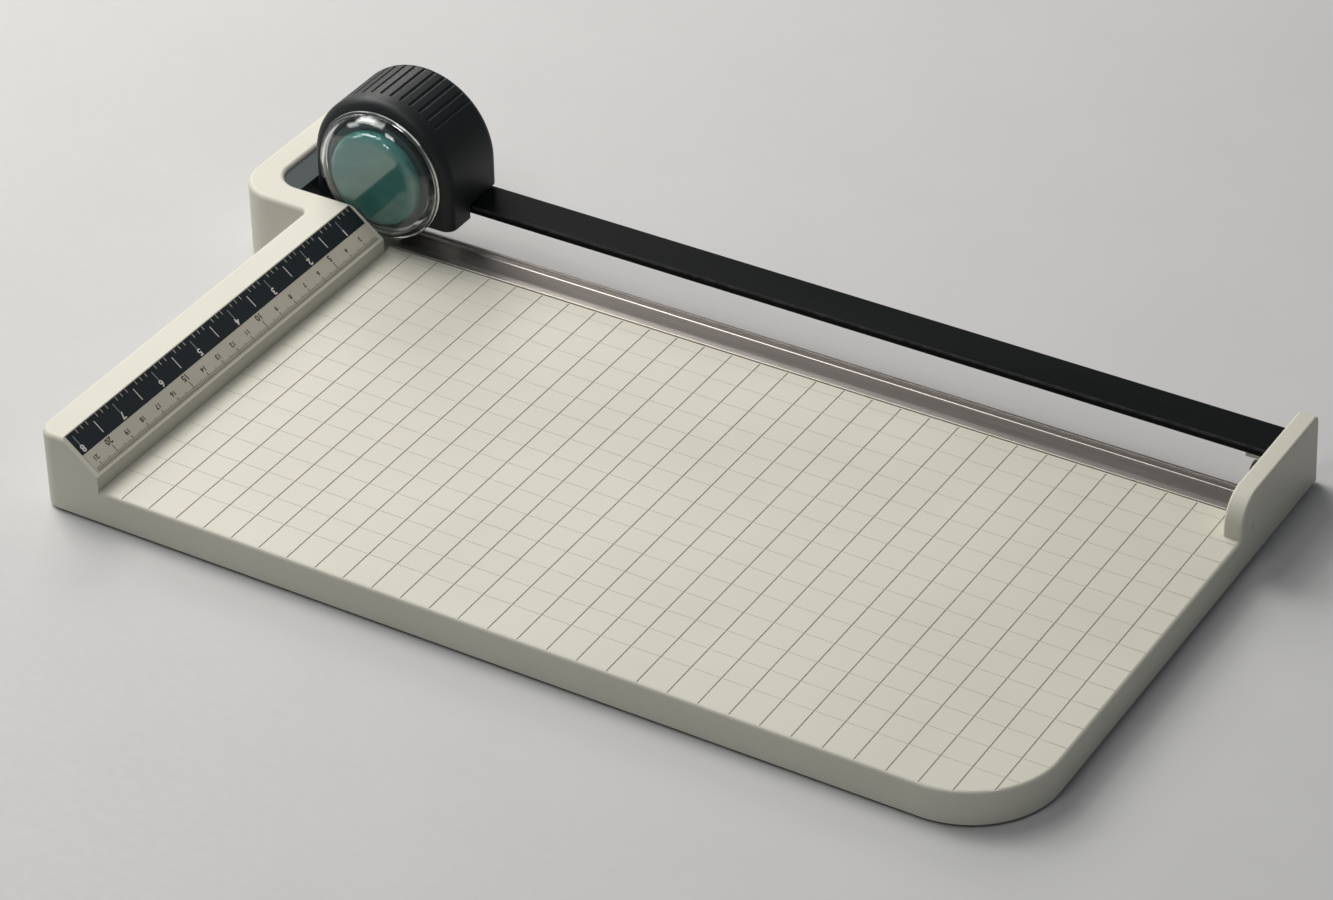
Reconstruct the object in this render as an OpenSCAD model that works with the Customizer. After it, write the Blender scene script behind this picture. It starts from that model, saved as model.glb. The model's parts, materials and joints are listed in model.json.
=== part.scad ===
// Rotary paper trimmer: a moulded base with an engraved grid, a steel cutting strip,
// a flat guide rail between two brackets, and a sprung rolling-blade head that slides along it.
// +Z is up, +Y points to the rear, and the cut runs along X.
// The origin is on the table, under the centre of the footprint.

/* [Base] */
// Width of the whole trimmer along the cut
overall_w = 458; // [458:1:540]
// Depth from the front edge to the rear of the two brackets
overall_d = 257; // [257:1:320]
// Height of the working surface above the table
deck_h = 16; // [16:0.5:20]
// Height of the ruler ledge above the working surface
ledge_h = 19.2; // [18:0.1:20]
// Corner radius at the front right
front_right_r = 37; // [20:1:45]
// Corner radius at the front left
front_left_r = 8; // [4:0.5:10]
// Spacing of the engraved grid
grid_pitch = 12.7; // [10:0.1:25.4]

/* [Cutting line] */
// Distance from the rear of the brackets to the cutting edge
cut_setback = 37.5; // [37.5:0.5:45]
// Width of the fixed steel strip
strip_w = 18; // [16:0.5:20]
// Thickness of the fixed steel strip
strip_t = 3.2; // [3:0.1:4]

/* [Rail] */
// Width of the flat guide rail
rail_w = 19; // [18.5:0.1:19.5]
// Thickness of the guide rail
rail_t = 3.2; // [3:0.1:3.2]
// Height of the rail's top above the working surface
rail_rise = 16.4; // [16:0.1:16.6]

/* [Head] */
// Outer radius of the arched head housing
head_r = 33.6; // [33.6:0.1:34]
// Height of the blade's axle above the working surface
axle_rise = 30.8; // [30.8:0.1:31]
// Radius of the round cutting blade
blade_r = 30; // [29.8:0.1:30.05]
// Distance the head can be pressed down
press_travel = 1.5; // [1:0.1:1.5]

/* [Hidden] */
$fn = 96;
eps = 0.01;
cad_gap = 0.05;

// ---- Footprint -----------------------------------------------------------------------------
left_x = -overall_w / 2;
right_x = overall_w / 2;
front_y = -overall_d / 2;
back_y = overall_d / 2;
foot_t = 1.5;
wall_t = 2.5;
deck_t = 3;
rib_t = 1.6;

// ---- Cutting line --------------------------------------------------------------------------
cut_y = back_y - cut_setback;
strip_y = cut_y - strip_w;
strip_overhang = 3;
shelf_y = cut_y - strip_overhang;
shelf_top = deck_h - strip_t;
shelf_t = 2.5;
strip_screw_y = strip_y + 6.5;
strip_screw_depth = 2;
near_lip = 4.5;
ridge_w = 3.3;
cutting_lip = 1.2;
bar_h = 6;

// ---- Ruler ledge ---------------------------------------------------------------------------
ledge_x = left_x + 38.2;
ledge_top_w = 12.7;
slope_run = 15.8;
slope_drop = 12.7;
slope_angle = atan2(slope_drop, slope_run);
slope_len = norm([slope_run, slope_drop]);
slope_x = ledge_x + ledge_top_w;
guide_x = slope_x + slope_run;
strip_x = guide_x + 0.3;
ledge_top = deck_h + ledge_h;
ledge_edge_r = 1.8;
lip_r = 1.7;
scale_t = 0.6;
scale_recess = 0.5;
scale_end_gap = 2.3;
inch_scale_w = 9.7;
inch_start = 0.5;
metric_start = inch_start + inch_scale_w + 0.1;
metric_scale_w = slope_len - metric_start - 1.3;

// ---- Grid ----------------------------------------------------------------------------------
grid_x = guide_x + 10.5;
grid_y = strip_y - 6;
groove_w = 0.8;
groove_d = 0.4;
cross_groove_w = 0.6;

// ---- Left bracket --------------------------------------------------------------------------
bracket_wall = 12.7;
arm_y = strip_y - 18.5;
inner_y = strip_y - 5;
bracket_outer_r = 19;
bracket_inner_r = 11.5;
bracket_inner_x = left_x + bracket_wall;
rear_lean = 3;
rear_edge_r = 3;
floor_t = 3;

// ---- Right bracket -------------------------------------------------------------------------
cheek_t = 8;
cheek_x = right_x - cheek_t;
cheek_front_y = strip_y - 15.5;
cheek_rise = 17.4;
cheek_front_r = 12;

// ---- Rail ----------------------------------------------------------------------------------
rail_front_gap = 2.8;
rail_y = cut_y + rail_front_gap;
rail_top = deck_h + rail_rise;
rail_bottom = rail_top - rail_t;
rail_mid_y = rail_y + rail_w / 2;
rail_socket = 3;
block_w = 12.6;
block_gap = 0.1;
block_x = bracket_inner_x + block_gap;
block_end_x = block_x + block_w;
block_top = ledge_top - 1.7;
rail_left_x = block_end_x - 11;
rail_right_x = cheek_x + rail_socket;

// ---- Head: all head sizes are measured from the axle, in the plane of the cutting edge ------
head_x = block_end_x + 1.2 + head_r;
axle_z = deck_h + axle_rise;
head_front = 13.5;
head_back = 23.4;
head_wall = 2.2;
head_edge_r = 4.5;
head_mouth_r = 26.5;
skirt_drop = 18.8;
arch_drop = 12.4;
skirt_back = 1.25;
rail_drop = axle_z - rail_top;
grip_count = 11;
grip_step = 8;
grip_first = 47;
grip_w = 1.4;
groove_deep = 0.9;
housing_screw_x = 6;
housing_screw_z = 14;

// ---- Shoe that carries the head on the rail -------------------------------------------------
shoe_half = 26;
shoe_pad = 3.3;
shoe_lip = 1.45;
shoe_hook = 1.7;
hook_reach = 4.2;
shoe_top_drop = rail_drop - cad_gap - shoe_pad;

// ---- Sprung carrier ------------------------------------------------------------------------
carrier_drop = shoe_top_drop - press_travel - cad_gap;
carrier_half = 21;
carrier_front = 2.5;
carrier_back = 20.8;
carrier_top = 11;
carrier_neck = 19;
post_x = 15;
post_y = 12;
post_r = 2;
post_stop = 8;
spring_mean_r = 3.6;
spring_wire_r = 0.35;
spring_seat = 2;
spring_turns = 6;
axle_r = 3;
axle_front = 13.5;
axle_back = 17.6;
axle_thread = 8;
bush_r = 4.5;
run_gap = 0.05;

// ---- Blade cartridge -----------------------------------------------------------------------
blade_t = 0.5;
blade_gap = 0.05;
blade_bore_r = 6;
hub_stem_r = 11;
hub_back = 1.9;
hub_recess_r = 7;
hub_recess = 13.3;
hub_flange_r = 24.3;
hub_flange_front = 15.2;
hub_flange_t = 1.6;
cap_r = 21;
cap_front = 20.9;
cap_wall = 1.6;
cap_edge_r = 4;
nut_w = 3;
nut_back = 1.8;
washer_r = 5.9;
washer_t = 0.7;
guard_flange_r = 29;
guard_flange_t = 1.4;
guard_r = 28;
guard_t = 1.3;
guard_front = 22.8;
guard_edge_r = 8.5;

// ---- Small parts ---------------------------------------------------------------------------
m3_r = 1.5;
m3_head_r = 2.8;
m3_head_h = 1.8;
m4_r = 2;
m4_head_r = 3.6;
screw_gap = 0.05;
bumper_r = 4;
bumper_t = 1;
bumper_y = cut_y - 6;
bumper_z = deck_h + 13.2;
rail_screw_x = cheek_x - 5.2;
rail_pin_x = rail_left_x + 5;
support_drop = 9;

strip_screw_x = [-140, -50, 40, 130, 205];
cheek_screw_y = [rail_mid_y - 5, rail_mid_y + 5];
block_screw_y = [inner_y + 9, back_y - 12];
// Each foot: centre x, centre y, radius
feet = [
    [ledge_x + 12, front_y + 14, 7],
    [right_x - 40, front_y + 16, 7],
    [ledge_x + 16, strip_y - 22, 7],
    [right_x - 16, strip_y - 22, 7],
    [left_x + bracket_wall / 2, back_y - 12, 4],
    [right_x - cheek_t / 2, back_y - 12, 3]
];

// ==== Shared shapes =========================================================================

// A solid that runs along Y from y0 to y1, from a profile drawn in X and Z
module along_y(y0, y1) {
    translate([0, y1, 0])
        rotate([90, 0, 0])
            linear_extrude(height = y1 - y0) children();
}

// A solid that runs along X from x0 to x1, from a profile drawn in Y and Z
module along_x(x0, x1) {
    translate([x0, 0, 0])
        rotate([90, 0, 90])
            linear_extrude(height = x1 - x0) children();
}

// Places a child at the head's axle, in the plane of the cutting edge
module at_head() {
    translate([head_x, cut_y, axle_z]) children();
}

// Turns a profile of radius and forward distance into a solid about the head's axle
module about_axle(turn = 360) {
    rotate([90, 0, 0]) rotate_extrude(angle = turn) children();
}

// Half section with one rounded outer corner: radius r, from 0 to len, corner radius edge
module rounded_section(r, len, edge) {
    square([r, len - edge]);
    square([r - edge, len]);
    translate([r - edge, len - edge]) circle(edge);
}

// Rectangle with its own radius at the front left, front right, and square rear corners
module plate_plan(x0, y0, x1, y1, r_left, r_right) {
    translate([x0, y0 + r_left]) square([x1 - x0 - r_right, y1 - y0 - r_left]);
    translate([x0 + r_left, y0]) square([x1 - x0 - r_left - r_right, y1 - y0]);
    translate([x0 + r_left, y0 + r_left]) circle(r_left);
    translate([x1 - r_right, y0 + r_right]) circle(r_right);
    translate([x1 - r_right - eps, y0 + r_right]) square([r_right + eps, y1 - y0 - r_right]);
}

// Countersunk-free round-headed screw that points along +Z, with its head below z = 0
module pan_screw(r, head_r, head_h, len) {
    rotate_extrude() {
        square([r, len]);
        translate([0, -head_h]) rounded_section_down(head_r, head_h, head_h * 0.45);
    }
}

// Half section of a screw head with its rounded corner on the low side
module rounded_section_down(r, len, edge) {
    translate([0, edge]) square([r, len - edge]);
    square([r - edge, len]);
    translate([r - edge, edge]) circle(edge, $fn = 48);
}

// ==== Base ==================================================================================

module deck_plan(inset = 0) {
    plate_plan(ledge_x + inset, front_y + inset, right_x - inset, strip_y - cad_gap - inset,
               front_left_r - inset, front_right_r - inset);
}

// Cross-section of the ruler ledge: flat top, slope for the scales, and the rounded paper guide
module ledge_profile() {
    translate([ledge_x, foot_t]) square([ledge_top_w, ledge_top - ledge_edge_r - foot_t]);
    translate([ledge_x + ledge_edge_r, foot_t])
        square([ledge_top_w - ledge_edge_r, ledge_top - foot_t]);
    translate([ledge_x + ledge_edge_r, ledge_top - ledge_edge_r]) circle(ledge_edge_r);
    polygon([
        [slope_x - eps, foot_t], [slope_x - eps, ledge_top], [slope_x, ledge_top],
        [guide_x - lip_r, ledge_top - slope_drop + 0.6], [guide_x - lip_r, foot_t]
    ]);
    translate([guide_x - lip_r, ledge_top - slope_drop - lip_r + 0.7]) circle(lip_r);
}

// Room under the ledge
module ledge_hollow_profile() {
    polygon([
        [ledge_x + wall_t, 0], [ledge_x + wall_t, ledge_top - deck_t],
        [slope_x - 0.8, ledge_top - deck_t],
        [guide_x - lip_r - wall_t, deck_h + 1.6], [guide_x - lip_r - wall_t, 0]
    ]);
}

// Plan of the C-shaped left bracket
module bracket_plan(inset = 0) {
    outer_r = bracket_outer_r - inset;
    inner_r = bracket_inner_r + inset;
    difference() {
        union() {
            translate([left_x + inset, arm_y + inset + outer_r])
                square([ledge_x + wall_t - left_x, back_y - arm_y - outer_r - 2 * inset]);
            translate([left_x + inset + outer_r, arm_y + inset])
                square([ledge_x + wall_t - left_x - outer_r, back_y - arm_y - 2 * inset]);
            translate([left_x + inset + outer_r, arm_y + inset + outer_r]) circle(outer_r);
        }
        translate([bracket_inner_x - inset + inner_r, inner_y - inset])
            square([overall_w, overall_d]);
        translate([bracket_inner_x - inset, inner_y - inset + inner_r])
            square([overall_w, overall_d]);
        translate([bracket_inner_x - inset + inner_r, inner_y - inset + inner_r]) circle(inner_r);
    }
}

// Small fillet where the bracket's arm meets the side of the ledge
module arm_fillet_plan() {
    fillet_r = 2.2;
    difference() {
        translate([ledge_x - fillet_r, arm_y - fillet_r]) square([fillet_r + eps, fillet_r + eps]);
        translate([ledge_x - fillet_r, arm_y - fillet_r]) circle(fillet_r);
    }
}

// Side view of a bracket's rear end, leaning and rounded at the top
module rear_keep_profile(top) {
    polygon([
        [front_y, 0], [back_y, 0], [back_y, foot_t],
        [back_y - rear_lean, top - rear_edge_r], [front_y, top - rear_edge_r]
    ]);
    translate([front_y, foot_t])
        square([back_y - rear_lean - rear_edge_r - front_y, top - foot_t]);
    translate([back_y - rear_lean - rear_edge_r, top - rear_edge_r]) circle(rear_edge_r);
}

module left_bracket() {
    intersection() {
        difference() {
            translate([0, 0, foot_t]) linear_extrude(height = ledge_top - foot_t) {
                bracket_plan();
                arm_fillet_plan();
            }
            // Room inside the wall, open below and closed at the leaning rear end
            intersection() {
                linear_extrude(height = ledge_top - deck_t) bracket_plan(inset = wall_t);
                translate([0, -wall_t, 0])
                    along_x(left_x, ledge_x + wall_t) rear_keep_profile(ledge_top);
            }
        }
        along_x(left_x, ledge_x + wall_t) rear_keep_profile(ledge_top);
    }
    // Floor under the rail's end block
    translate([bracket_inner_x - wall_t, inner_y - wall_t, foot_t])
        cube([block_w + wall_t + block_gap, back_y - rear_lean - inner_y, floor_t]);
}

// Side view of the right bracket: round front shoulder, flat top, leaning rear end
module cheek_profile() {
    top = deck_h + cheek_rise;
    rear_top_y = back_y - rear_lean;
    translate([cheek_front_y, foot_t]) square([rear_top_y - cheek_front_y, top - cheek_front_r - foot_t]);
    translate([cheek_front_y + cheek_front_r, foot_t])
        square([rear_top_y - rear_edge_r - cheek_front_y - cheek_front_r, top - foot_t]);
    translate([cheek_front_y + cheek_front_r, top - cheek_front_r]) circle(cheek_front_r);
    polygon([
        [rear_top_y - rear_edge_r, foot_t], [back_y, foot_t],
        [rear_top_y, top - rear_edge_r], [rear_top_y - rear_edge_r, top - rear_edge_r]
    ]);
    translate([rear_top_y - rear_edge_r, top - rear_edge_r]) circle(rear_edge_r);
}

module grid_grooves() {
    last_x = cheek_x - grid_x;
    translate([0, 0, deck_h - groove_d]) linear_extrude(height = groove_d + 1) {
        for (x = [0 : grid_pitch : last_x])
            translate([grid_x + x - groove_w / 2, front_y - 1])
                square([groove_w, strip_y - front_y + 1]);
        for (y = [0 : grid_pitch : grid_y - front_y - 6])
            translate([guide_x, grid_y - y - cross_groove_w / 2])
                square([right_x - guide_x + 1, cross_groove_w]);
    }
}

module deck_ribs() {
    rib_low = foot_t + 2;
    rib_h = deck_h - deck_t - rib_low + eps;
    along = (right_x - guide_x) / 7;
    across = (strip_y - front_y) / 4;
    for (i = [1 : 6])
        translate([guide_x + i * along, front_y + wall_t, rib_low])
            cube([rib_t, strip_y - front_y - 2 * wall_t, rib_h]);
    for (i = [1 : 3])
        translate([guide_x - wall_t, front_y + i * across, rib_low])
            cube([right_x - guide_x, rib_t, rib_h]);
}

// Shelf and rear wall that carry the cutting strip
module strip_shelf() {
    translate([ledge_x, strip_y - wall_t, shelf_top - shelf_t])
        cube([cheek_x - ledge_x + eps, shelf_y - strip_y + wall_t, shelf_t]);
    translate([ledge_x, shelf_y - wall_t, foot_t])
        cube([cheek_x - ledge_x + eps, wall_t, shelf_top - foot_t]);
    translate([ledge_x, inner_y - wall_t, foot_t])
        cube([wall_t, shelf_y - inner_y + wall_t, shelf_top - foot_t]);
}

// The two scale plates on the slope: across starts at the top of the slope
module slope_plate(start, width, proud, clear = 0) {
    translate([slope_x, front_y + scale_end_gap - clear, ledge_top])
        rotate([0, slope_angle, 0])
            translate([start - clear, 0, -scale_recess])
                cube([width + 2 * clear, inner_y - front_y - scale_end_gap - 1.6 + 2 * clear,
                      scale_recess + proud]);
}

module base_body() {
    color("antiquewhite") difference() {
        union() {
            difference() {
                translate([0, 0, foot_t]) linear_extrude(height = deck_h - foot_t) deck_plan();
                linear_extrude(height = deck_h - deck_t) deck_plan(inset = wall_t);
            }
            difference() {
                along_y(front_y, inner_y) ledge_profile();
                along_y(front_y + wall_t, inner_y - wall_t) ledge_hollow_profile();
                // Front left corner follows the plan radius all the way up
                translate([0, 0, foot_t]) linear_extrude(height = ledge_h + deck_h) difference() {
                    translate([ledge_x - 1, front_y - 1]) square(front_left_r + 1);
                    translate([ledge_x + front_left_r, front_y + front_left_r]) circle(front_left_r);
                }
            }
            deck_ribs();
            strip_shelf();
            left_bracket();
            along_x(cheek_x, right_x) cheek_profile();
            for (f = feet)
                translate([f[0], f[1], foot_t]) cylinder(r = f[2] + 1, h = deck_h - foot_t - 1);
        }
        grid_grooves();
        slope_plate(inch_start, inch_scale_w, 1, 0.05);
        slope_plate(metric_start, metric_scale_w, 1, 0.05);
        // Socket for the rail's right end
        translate([cheek_x - 1, rail_y - cad_gap, rail_bottom - cad_gap])
            cube([rail_socket + 1 + cad_gap, rail_w + 2 * cad_gap, rail_t + 2 * cad_gap]);
        for (x = strip_screw_x)
            translate([x, strip_screw_y, 0]) cylinder(r = m4_r + 0.25, h = deck_h);
        for (y = cheek_screw_y)
            translate([cheek_x - 1, y, rail_bottom - support_drop])
                rotate([0, 90, 0]) cylinder(r = m3_r + screw_gap, h = cheek_t - 1);
        for (y = block_screw_y)
            translate([block_x + block_w / 2, y, 0]) cylinder(r = m4_r + 0.25, h = deck_h);
    }
}

module foot_pads() {
    color("dimgray") for (f = feet)
        translate([f[0], f[1], 0]) rotate_extrude() {
            translate([0, 0.4]) square([f[2], foot_t - 0.4]);
            square([f[2] - 0.4, foot_t]);
            translate([f[2] - 0.4, 0.4]) circle(0.4, $fn = 32);
        }
}

module inch_scale() {
    color("darkslategray") slope_plate(inch_start, inch_scale_w, scale_t - scale_recess);
}

module metric_scale() {
    color("silver") slope_plate(metric_start, metric_scale_w, scale_t - scale_recess);
}

// ==== Cutting line ==========================================================================

// Cross-section of the strip in Y and Z: near lip, ground face, low ridge, groove and cutting lip
module strip_profile() {
    face = deck_h - 0.3;
    groove = deck_h - 0.6;
    near_edge = deck_h - 1;
    polygon([
        [strip_y, shelf_top], [cut_y, shelf_top], [cut_y, deck_h], [cut_y - cutting_lip, deck_h],
        [cut_y - cutting_lip - 0.2, groove], [cut_y - cutting_lip - 0.8, groove],
        [cut_y - cutting_lip - 1, deck_h - 0.05], [cut_y - cutting_lip - ridge_w, deck_h - 0.05],
        [cut_y - cutting_lip - ridge_w - 0.5, face], [strip_y + near_lip + 0.5, face],
        [strip_y + near_lip, deck_h], [strip_y + 0.9, deck_h],
        [strip_y + 0.7, near_edge], [strip_y, near_edge]
    ]);
}

module cutting_strip() {
    color("lightsteelblue") difference() {
        along_x(strip_x, cheek_x - 0.1) strip_profile();
        for (x = strip_screw_x)
            translate([x, strip_screw_y, shelf_top - 1])
                cylinder(r = m4_r + screw_gap, h = strip_screw_depth + 1.2);
    }
}

module stiffener_bar() {
    bar_y0 = strip_y + 0.5;
    bar_y1 = shelf_y - wall_t - 0.5;
    color("slategray") difference() {
        translate([guide_x + 2, bar_y0, shelf_top - shelf_t - bar_h])
            cube([cheek_x - guide_x - 6, bar_y1 - bar_y0, bar_h]);
        for (x = strip_screw_x)
            translate([x, strip_screw_y, 0]) cylinder(r = m4_r + 0.25, h = deck_h);
    }
}

module strip_screws() {
    bar_bottom = shelf_top - shelf_t - bar_h;
    color("gray") for (x = strip_screw_x)
        translate([x, strip_screw_y, bar_bottom])
            pan_screw(m4_r, m4_head_r, 2.2, shelf_top - bar_bottom + strip_screw_depth);
}

// ==== Rail ==================================================================================

module guide_rail() {
    color("#1c2022") difference() {
        translate([rail_left_x, rail_y, rail_bottom])
            cube([rail_right_x - rail_left_x, rail_w, rail_t]);
        translate([rail_pin_x, rail_mid_y, rail_bottom - 1])
            cylinder(r = m4_r + 0.2, h = rail_t + 2);
        translate([rail_screw_x, rail_mid_y, rail_bottom - 1])
            cylinder(r = m3_r + screw_gap, h = rail_t);
    }
}

module rail_end_block() {
    corner_r = bracket_inner_r - block_gap;
    y0 = inner_y + block_gap;
    y1 = back_y - rear_lean - rear_edge_r - 2;
    color("#30393a") difference() {
        translate([0, 0, foot_t + floor_t]) linear_extrude(height = block_top - foot_t - floor_t) {
            translate([block_x + corner_r, y0]) square([block_w - corner_r, y1 - y0]);
            translate([block_x, y0 + corner_r]) square([block_w, y1 - y0 - corner_r]);
            intersection() {
                translate([block_x + corner_r, y0 + corner_r]) circle(corner_r);
                translate([block_x, y0]) square([block_w, corner_r + eps]);
            }
        }
        // Socket for the rail's left end
        translate([rail_left_x - cad_gap, rail_y - cad_gap, rail_bottom - cad_gap])
            cube([block_w + 1, rail_w + 2 * cad_gap, rail_t + 2 * cad_gap]);
        translate([rail_pin_x, rail_mid_y, rail_bottom - 10])
            cylinder(r = m4_r + screw_gap, h = 20);
        translate([rail_pin_x, rail_mid_y, block_top - 0.6])
            cylinder(r = 4, h = 1);
        for (y = block_screw_y)
            translate([block_x + block_w / 2, y, 0])
                cylinder(r = m4_r + screw_gap, h = foot_t + floor_t + 9);
    }
}

module end_block_screws() {
    color("gray") for (y = block_screw_y)
        translate([block_x + block_w / 2, y, foot_t])
            pan_screw(m4_r, 3.4, 1.2, floor_t + 8);
}

module rail_left_screw() {
    color("gray") translate([rail_pin_x, rail_mid_y, block_top - 0.6])
        mirror([0, 0, 1]) pan_screw(m4_r, m4_head_r, 1.6, block_top - rail_bottom + 8);
}

// Steel angle that carries the rail at the right bracket
module rail_support() {
    leg_t = 2;
    leg_h = 14;
    reach = 8.4;
    z0 = rail_bottom - cad_gap;
    color("slategray") difference() {
        union() {
            translate([cheek_x - leg_t, rail_y + 1, z0 - leg_h]) cube([leg_t, rail_w - 2, leg_h]);
            translate([cheek_x - reach, rail_y + 1, z0 - leg_t]) cube([reach, rail_w - 2, leg_t]);
        }
        for (y = cheek_screw_y)
            translate([cheek_x - leg_t - 1, y, rail_bottom - support_drop])
                rotate([0, 90, 0]) cylinder(r = m3_r + 0.2, h = leg_t + 2);
        translate([rail_screw_x, rail_mid_y, z0 - leg_t - 1])
            cylinder(r = m3_r + 0.2, h = leg_t + 2);
    }
}

module rail_support_screws() {
    color("gray") for (y = cheek_screw_y)
        translate([cheek_x - 2, y, rail_bottom - support_drop])
            rotate([0, 90, 0]) pan_screw(m3_r, m3_head_r, m3_head_h, 8);
}

module rail_right_screw() {
    color("gray") translate([rail_screw_x, rail_mid_y, rail_bottom - cad_gap - 2])
        pan_screw(m3_r, m3_head_r, m3_head_h, 4);
}

module end_bumpers() {
    color("dimgray") {
        for (x = [block_end_x, cheek_x - bumper_t])
            translate([x, bumper_y, bumper_z]) rotate([0, 90, 0]) cylinder(r = bumper_r, h = bumper_t);
    }
}

// ==== Sliding shoe ==========================================================================

module slide_shoe() {
    pad_z = -rail_drop + cad_gap;
    hook_z = pad_z - 2 * cad_gap - rail_t - shoe_hook;
    front = rail_front_gap - cad_gap - shoe_lip;
    back = rail_front_gap + rail_w + cad_gap + shoe_lip;
    color("whitesmoke") at_head() difference() {
        translate([-shoe_half, front, hook_z])
            cube([2 * shoe_half, back - front, pad_z + shoe_pad - hook_z]);
        // Channel round the rail, open below between the two hooks
        translate([-shoe_half - 1, rail_front_gap - cad_gap, hook_z + shoe_hook])
            cube([2 * shoe_half + 2, rail_w + 2 * cad_gap, rail_t + 2 * cad_gap]);
        translate([-shoe_half - 1, front + shoe_lip + hook_reach, hook_z - 1])
            cube([2 * shoe_half + 2, back - front - 2 * shoe_lip - 2 * hook_reach, shoe_hook + 2]);
        for (x = [-post_x, post_x])
            translate([x, post_y, -shoe_top_drop - 2.8]) cylinder(r = post_r + screw_gap, h = 6);
    }
}

module shoulder_screws() {
    color("gray") at_head() for (x = [-post_x, post_x])
        translate([x, post_y, 0]) {
            translate([0, 0, -shoe_top_drop - 2.75])
                cylinder(r = post_r, h = shoe_top_drop + 2.75 + post_stop + cad_gap);
            translate([0, 0, post_stop + cad_gap]) mirror([0, 0, 1])
                pan_screw(post_r, post_r + 1.6, 2.4, 1);
        }
}

// Points of a coil whose first and last turns lie flat
function coil_rise(t, turns, rise) =
    let (flat = 0.75)
    t < flat ? 0 :
    t > turns - flat ? rise :
    rise * (t - flat) / (turns - 2 * flat);

module coil(mean_r, wire_r, rise, turns, steps = 14, sides = 6) {
    n = turns * steps;
    rings = [for (i = [0 : n])
        let (a = 360 * i / steps, z = coil_rise(i / steps, turns, rise) )
        [for (k = [0 : sides - 1])
            let (b = 360 * k / sides, r = mean_r + wire_r * cos(b))
            [r * cos(a), r * sin(a), z + 2 * wire_r * min(i / steps, 1) * 0.55
                + 2 * wire_r * max(i / steps - turns + 1, 0) * 0.55 + wire_r * sin(b)]]];
    points = [for (ring = rings) each ring];
    start = [for (k = [sides - 1 : -1 : 0]) k];
    finish = [for (k = [0 : sides - 1]) n * sides + k];
    skin = [for (i = [0 : n - 1]) for (k = [0 : sides - 1])
        [i * sides + k, i * sides + (k + 1) % sides,
         (i + 1) * sides + (k + 1) % sides, (i + 1) * sides + k]];
    polyhedron(points, concat([start], skin, [finish]));
}

module press_springs() {
    low = -shoe_top_drop + spring_wire_r + 0.02;
    high = spring_seat - spring_wire_r - 0.02;
    flat_rise = 4 * spring_wire_r * 0.55;
    color("silver") at_head() for (x = [-post_x, post_x])
        translate([x, post_y, low])
            coil(spring_mean_r, spring_wire_r, high - low - flat_rise, spring_turns);
}

// ==== Head that presses down ================================================================

module carrier_frame() {
    color("#2a2f31") at_head() difference() {
        union() {
            translate([-carrier_half, carrier_front, -carrier_drop])
                cube([2 * carrier_half, carrier_back - carrier_front, carrier_drop + carrier_top]);
            translate([-10, carrier_front + 4, 0])
                cube([20, carrier_back - carrier_front - 4, carrier_neck]);
            // Pillar that meets the housing's rear wall
            translate([-10, carrier_back - 1, -2])
                cube([20, head_back - head_wall - carrier_back + 1 - cad_gap, carrier_neck + 2]);
        }
        for (x = [-post_x, post_x]) translate([x, post_y, 0]) {
            translate([0, 0, -carrier_drop - 1]) cylinder(r = post_r + run_gap, h = 40);
            translate([0, 0, -carrier_drop - 1]) cylinder(r = 4.6, h = carrier_drop + 1 + spring_seat);
            translate([0, 0, post_stop]) cylinder(r = 4.4, h = 10);
        }
        translate([0, axle_back + 0.2, 0]) rotate([90, 0, 0])
            cylinder(r = axle_r + 0.01, h = 2 * axle_back);
        for (x = [-housing_screw_x, housing_screw_x]) translate([x, head_back, housing_screw_z])
            rotate([90, 0, 0]) cylinder(r = m3_r + screw_gap, h = 11);
    }
}

module axle_pin() {
    color("silver") at_head() difference() {
        translate([0, axle_back, 0]) rotate([90, 0, 0])
            cylinder(r = axle_r, h = axle_front + axle_back);
        translate([0, -axle_front + axle_thread, 0]) rotate([90, 0, 0])
            cylinder(r = m3_r + 0.02, h = axle_thread + 2);
    }
}

// Arched solid: a half turn about the axle and straight sides that drop below it
module arch(r, front, back, edge, drop) {
    about_axle(180) translate([0, -back]) rounded_section(r, front + back, edge);
    translate([0, 0, -drop]) linear_extrude(height = drop) mirror([0, 1])
        for (side = [0, 1]) mirror([side, 0])
            translate([-eps, -back]) rounded_section(r + eps, front + back, edge);
}

module head_housing() {
    color("#1b1f21") at_head() difference() {
        arch(head_r, head_front, head_back, head_edge_r, skirt_drop);
        arch(head_r - head_wall, head_front - head_wall, head_back - head_wall,
             head_edge_r - head_wall, skirt_drop + 5);
        // Mouth for the blade cartridge
        about_axle() square([head_mouth_r, head_front + 1]);
        // Room for the rail, the shoe and the press travel
        translate([-head_r - 1, skirt_back, -skirt_drop - 1])
            cube([2 * head_r + 2, 40, skirt_drop + 1 - arch_drop]);
        translate([-shoe_half - 1, skirt_back, -skirt_drop - 1])
            cube([2 * shoe_half + 2, 40, skirt_drop + 1 - shoe_top_drop + press_travel + 0.6]);
        for (i = [0 : grip_count - 1]) rotate([0, -(grip_first + i * grip_step), 0])
            translate([head_r - groove_deep, -head_front + head_edge_r + 2.5, -grip_w / 2])
                cube([groove_deep + 1, head_front + head_back - head_edge_r - 6, grip_w]);
        for (x = [-housing_screw_x, housing_screw_x]) translate([x, head_back + 1, housing_screw_z])
            rotate([90, 0, 0]) cylinder(r = m3_r + 0.2, h = head_wall + 2);
    }
}

module housing_screws() {
    color("gray") at_head() for (x = [-housing_screw_x, housing_screw_x])
        translate([x, head_back, housing_screw_z]) rotate([90, 0, 0]) pan_screw(m3_r, m3_head_r, m3_head_h, 11);
}

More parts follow.
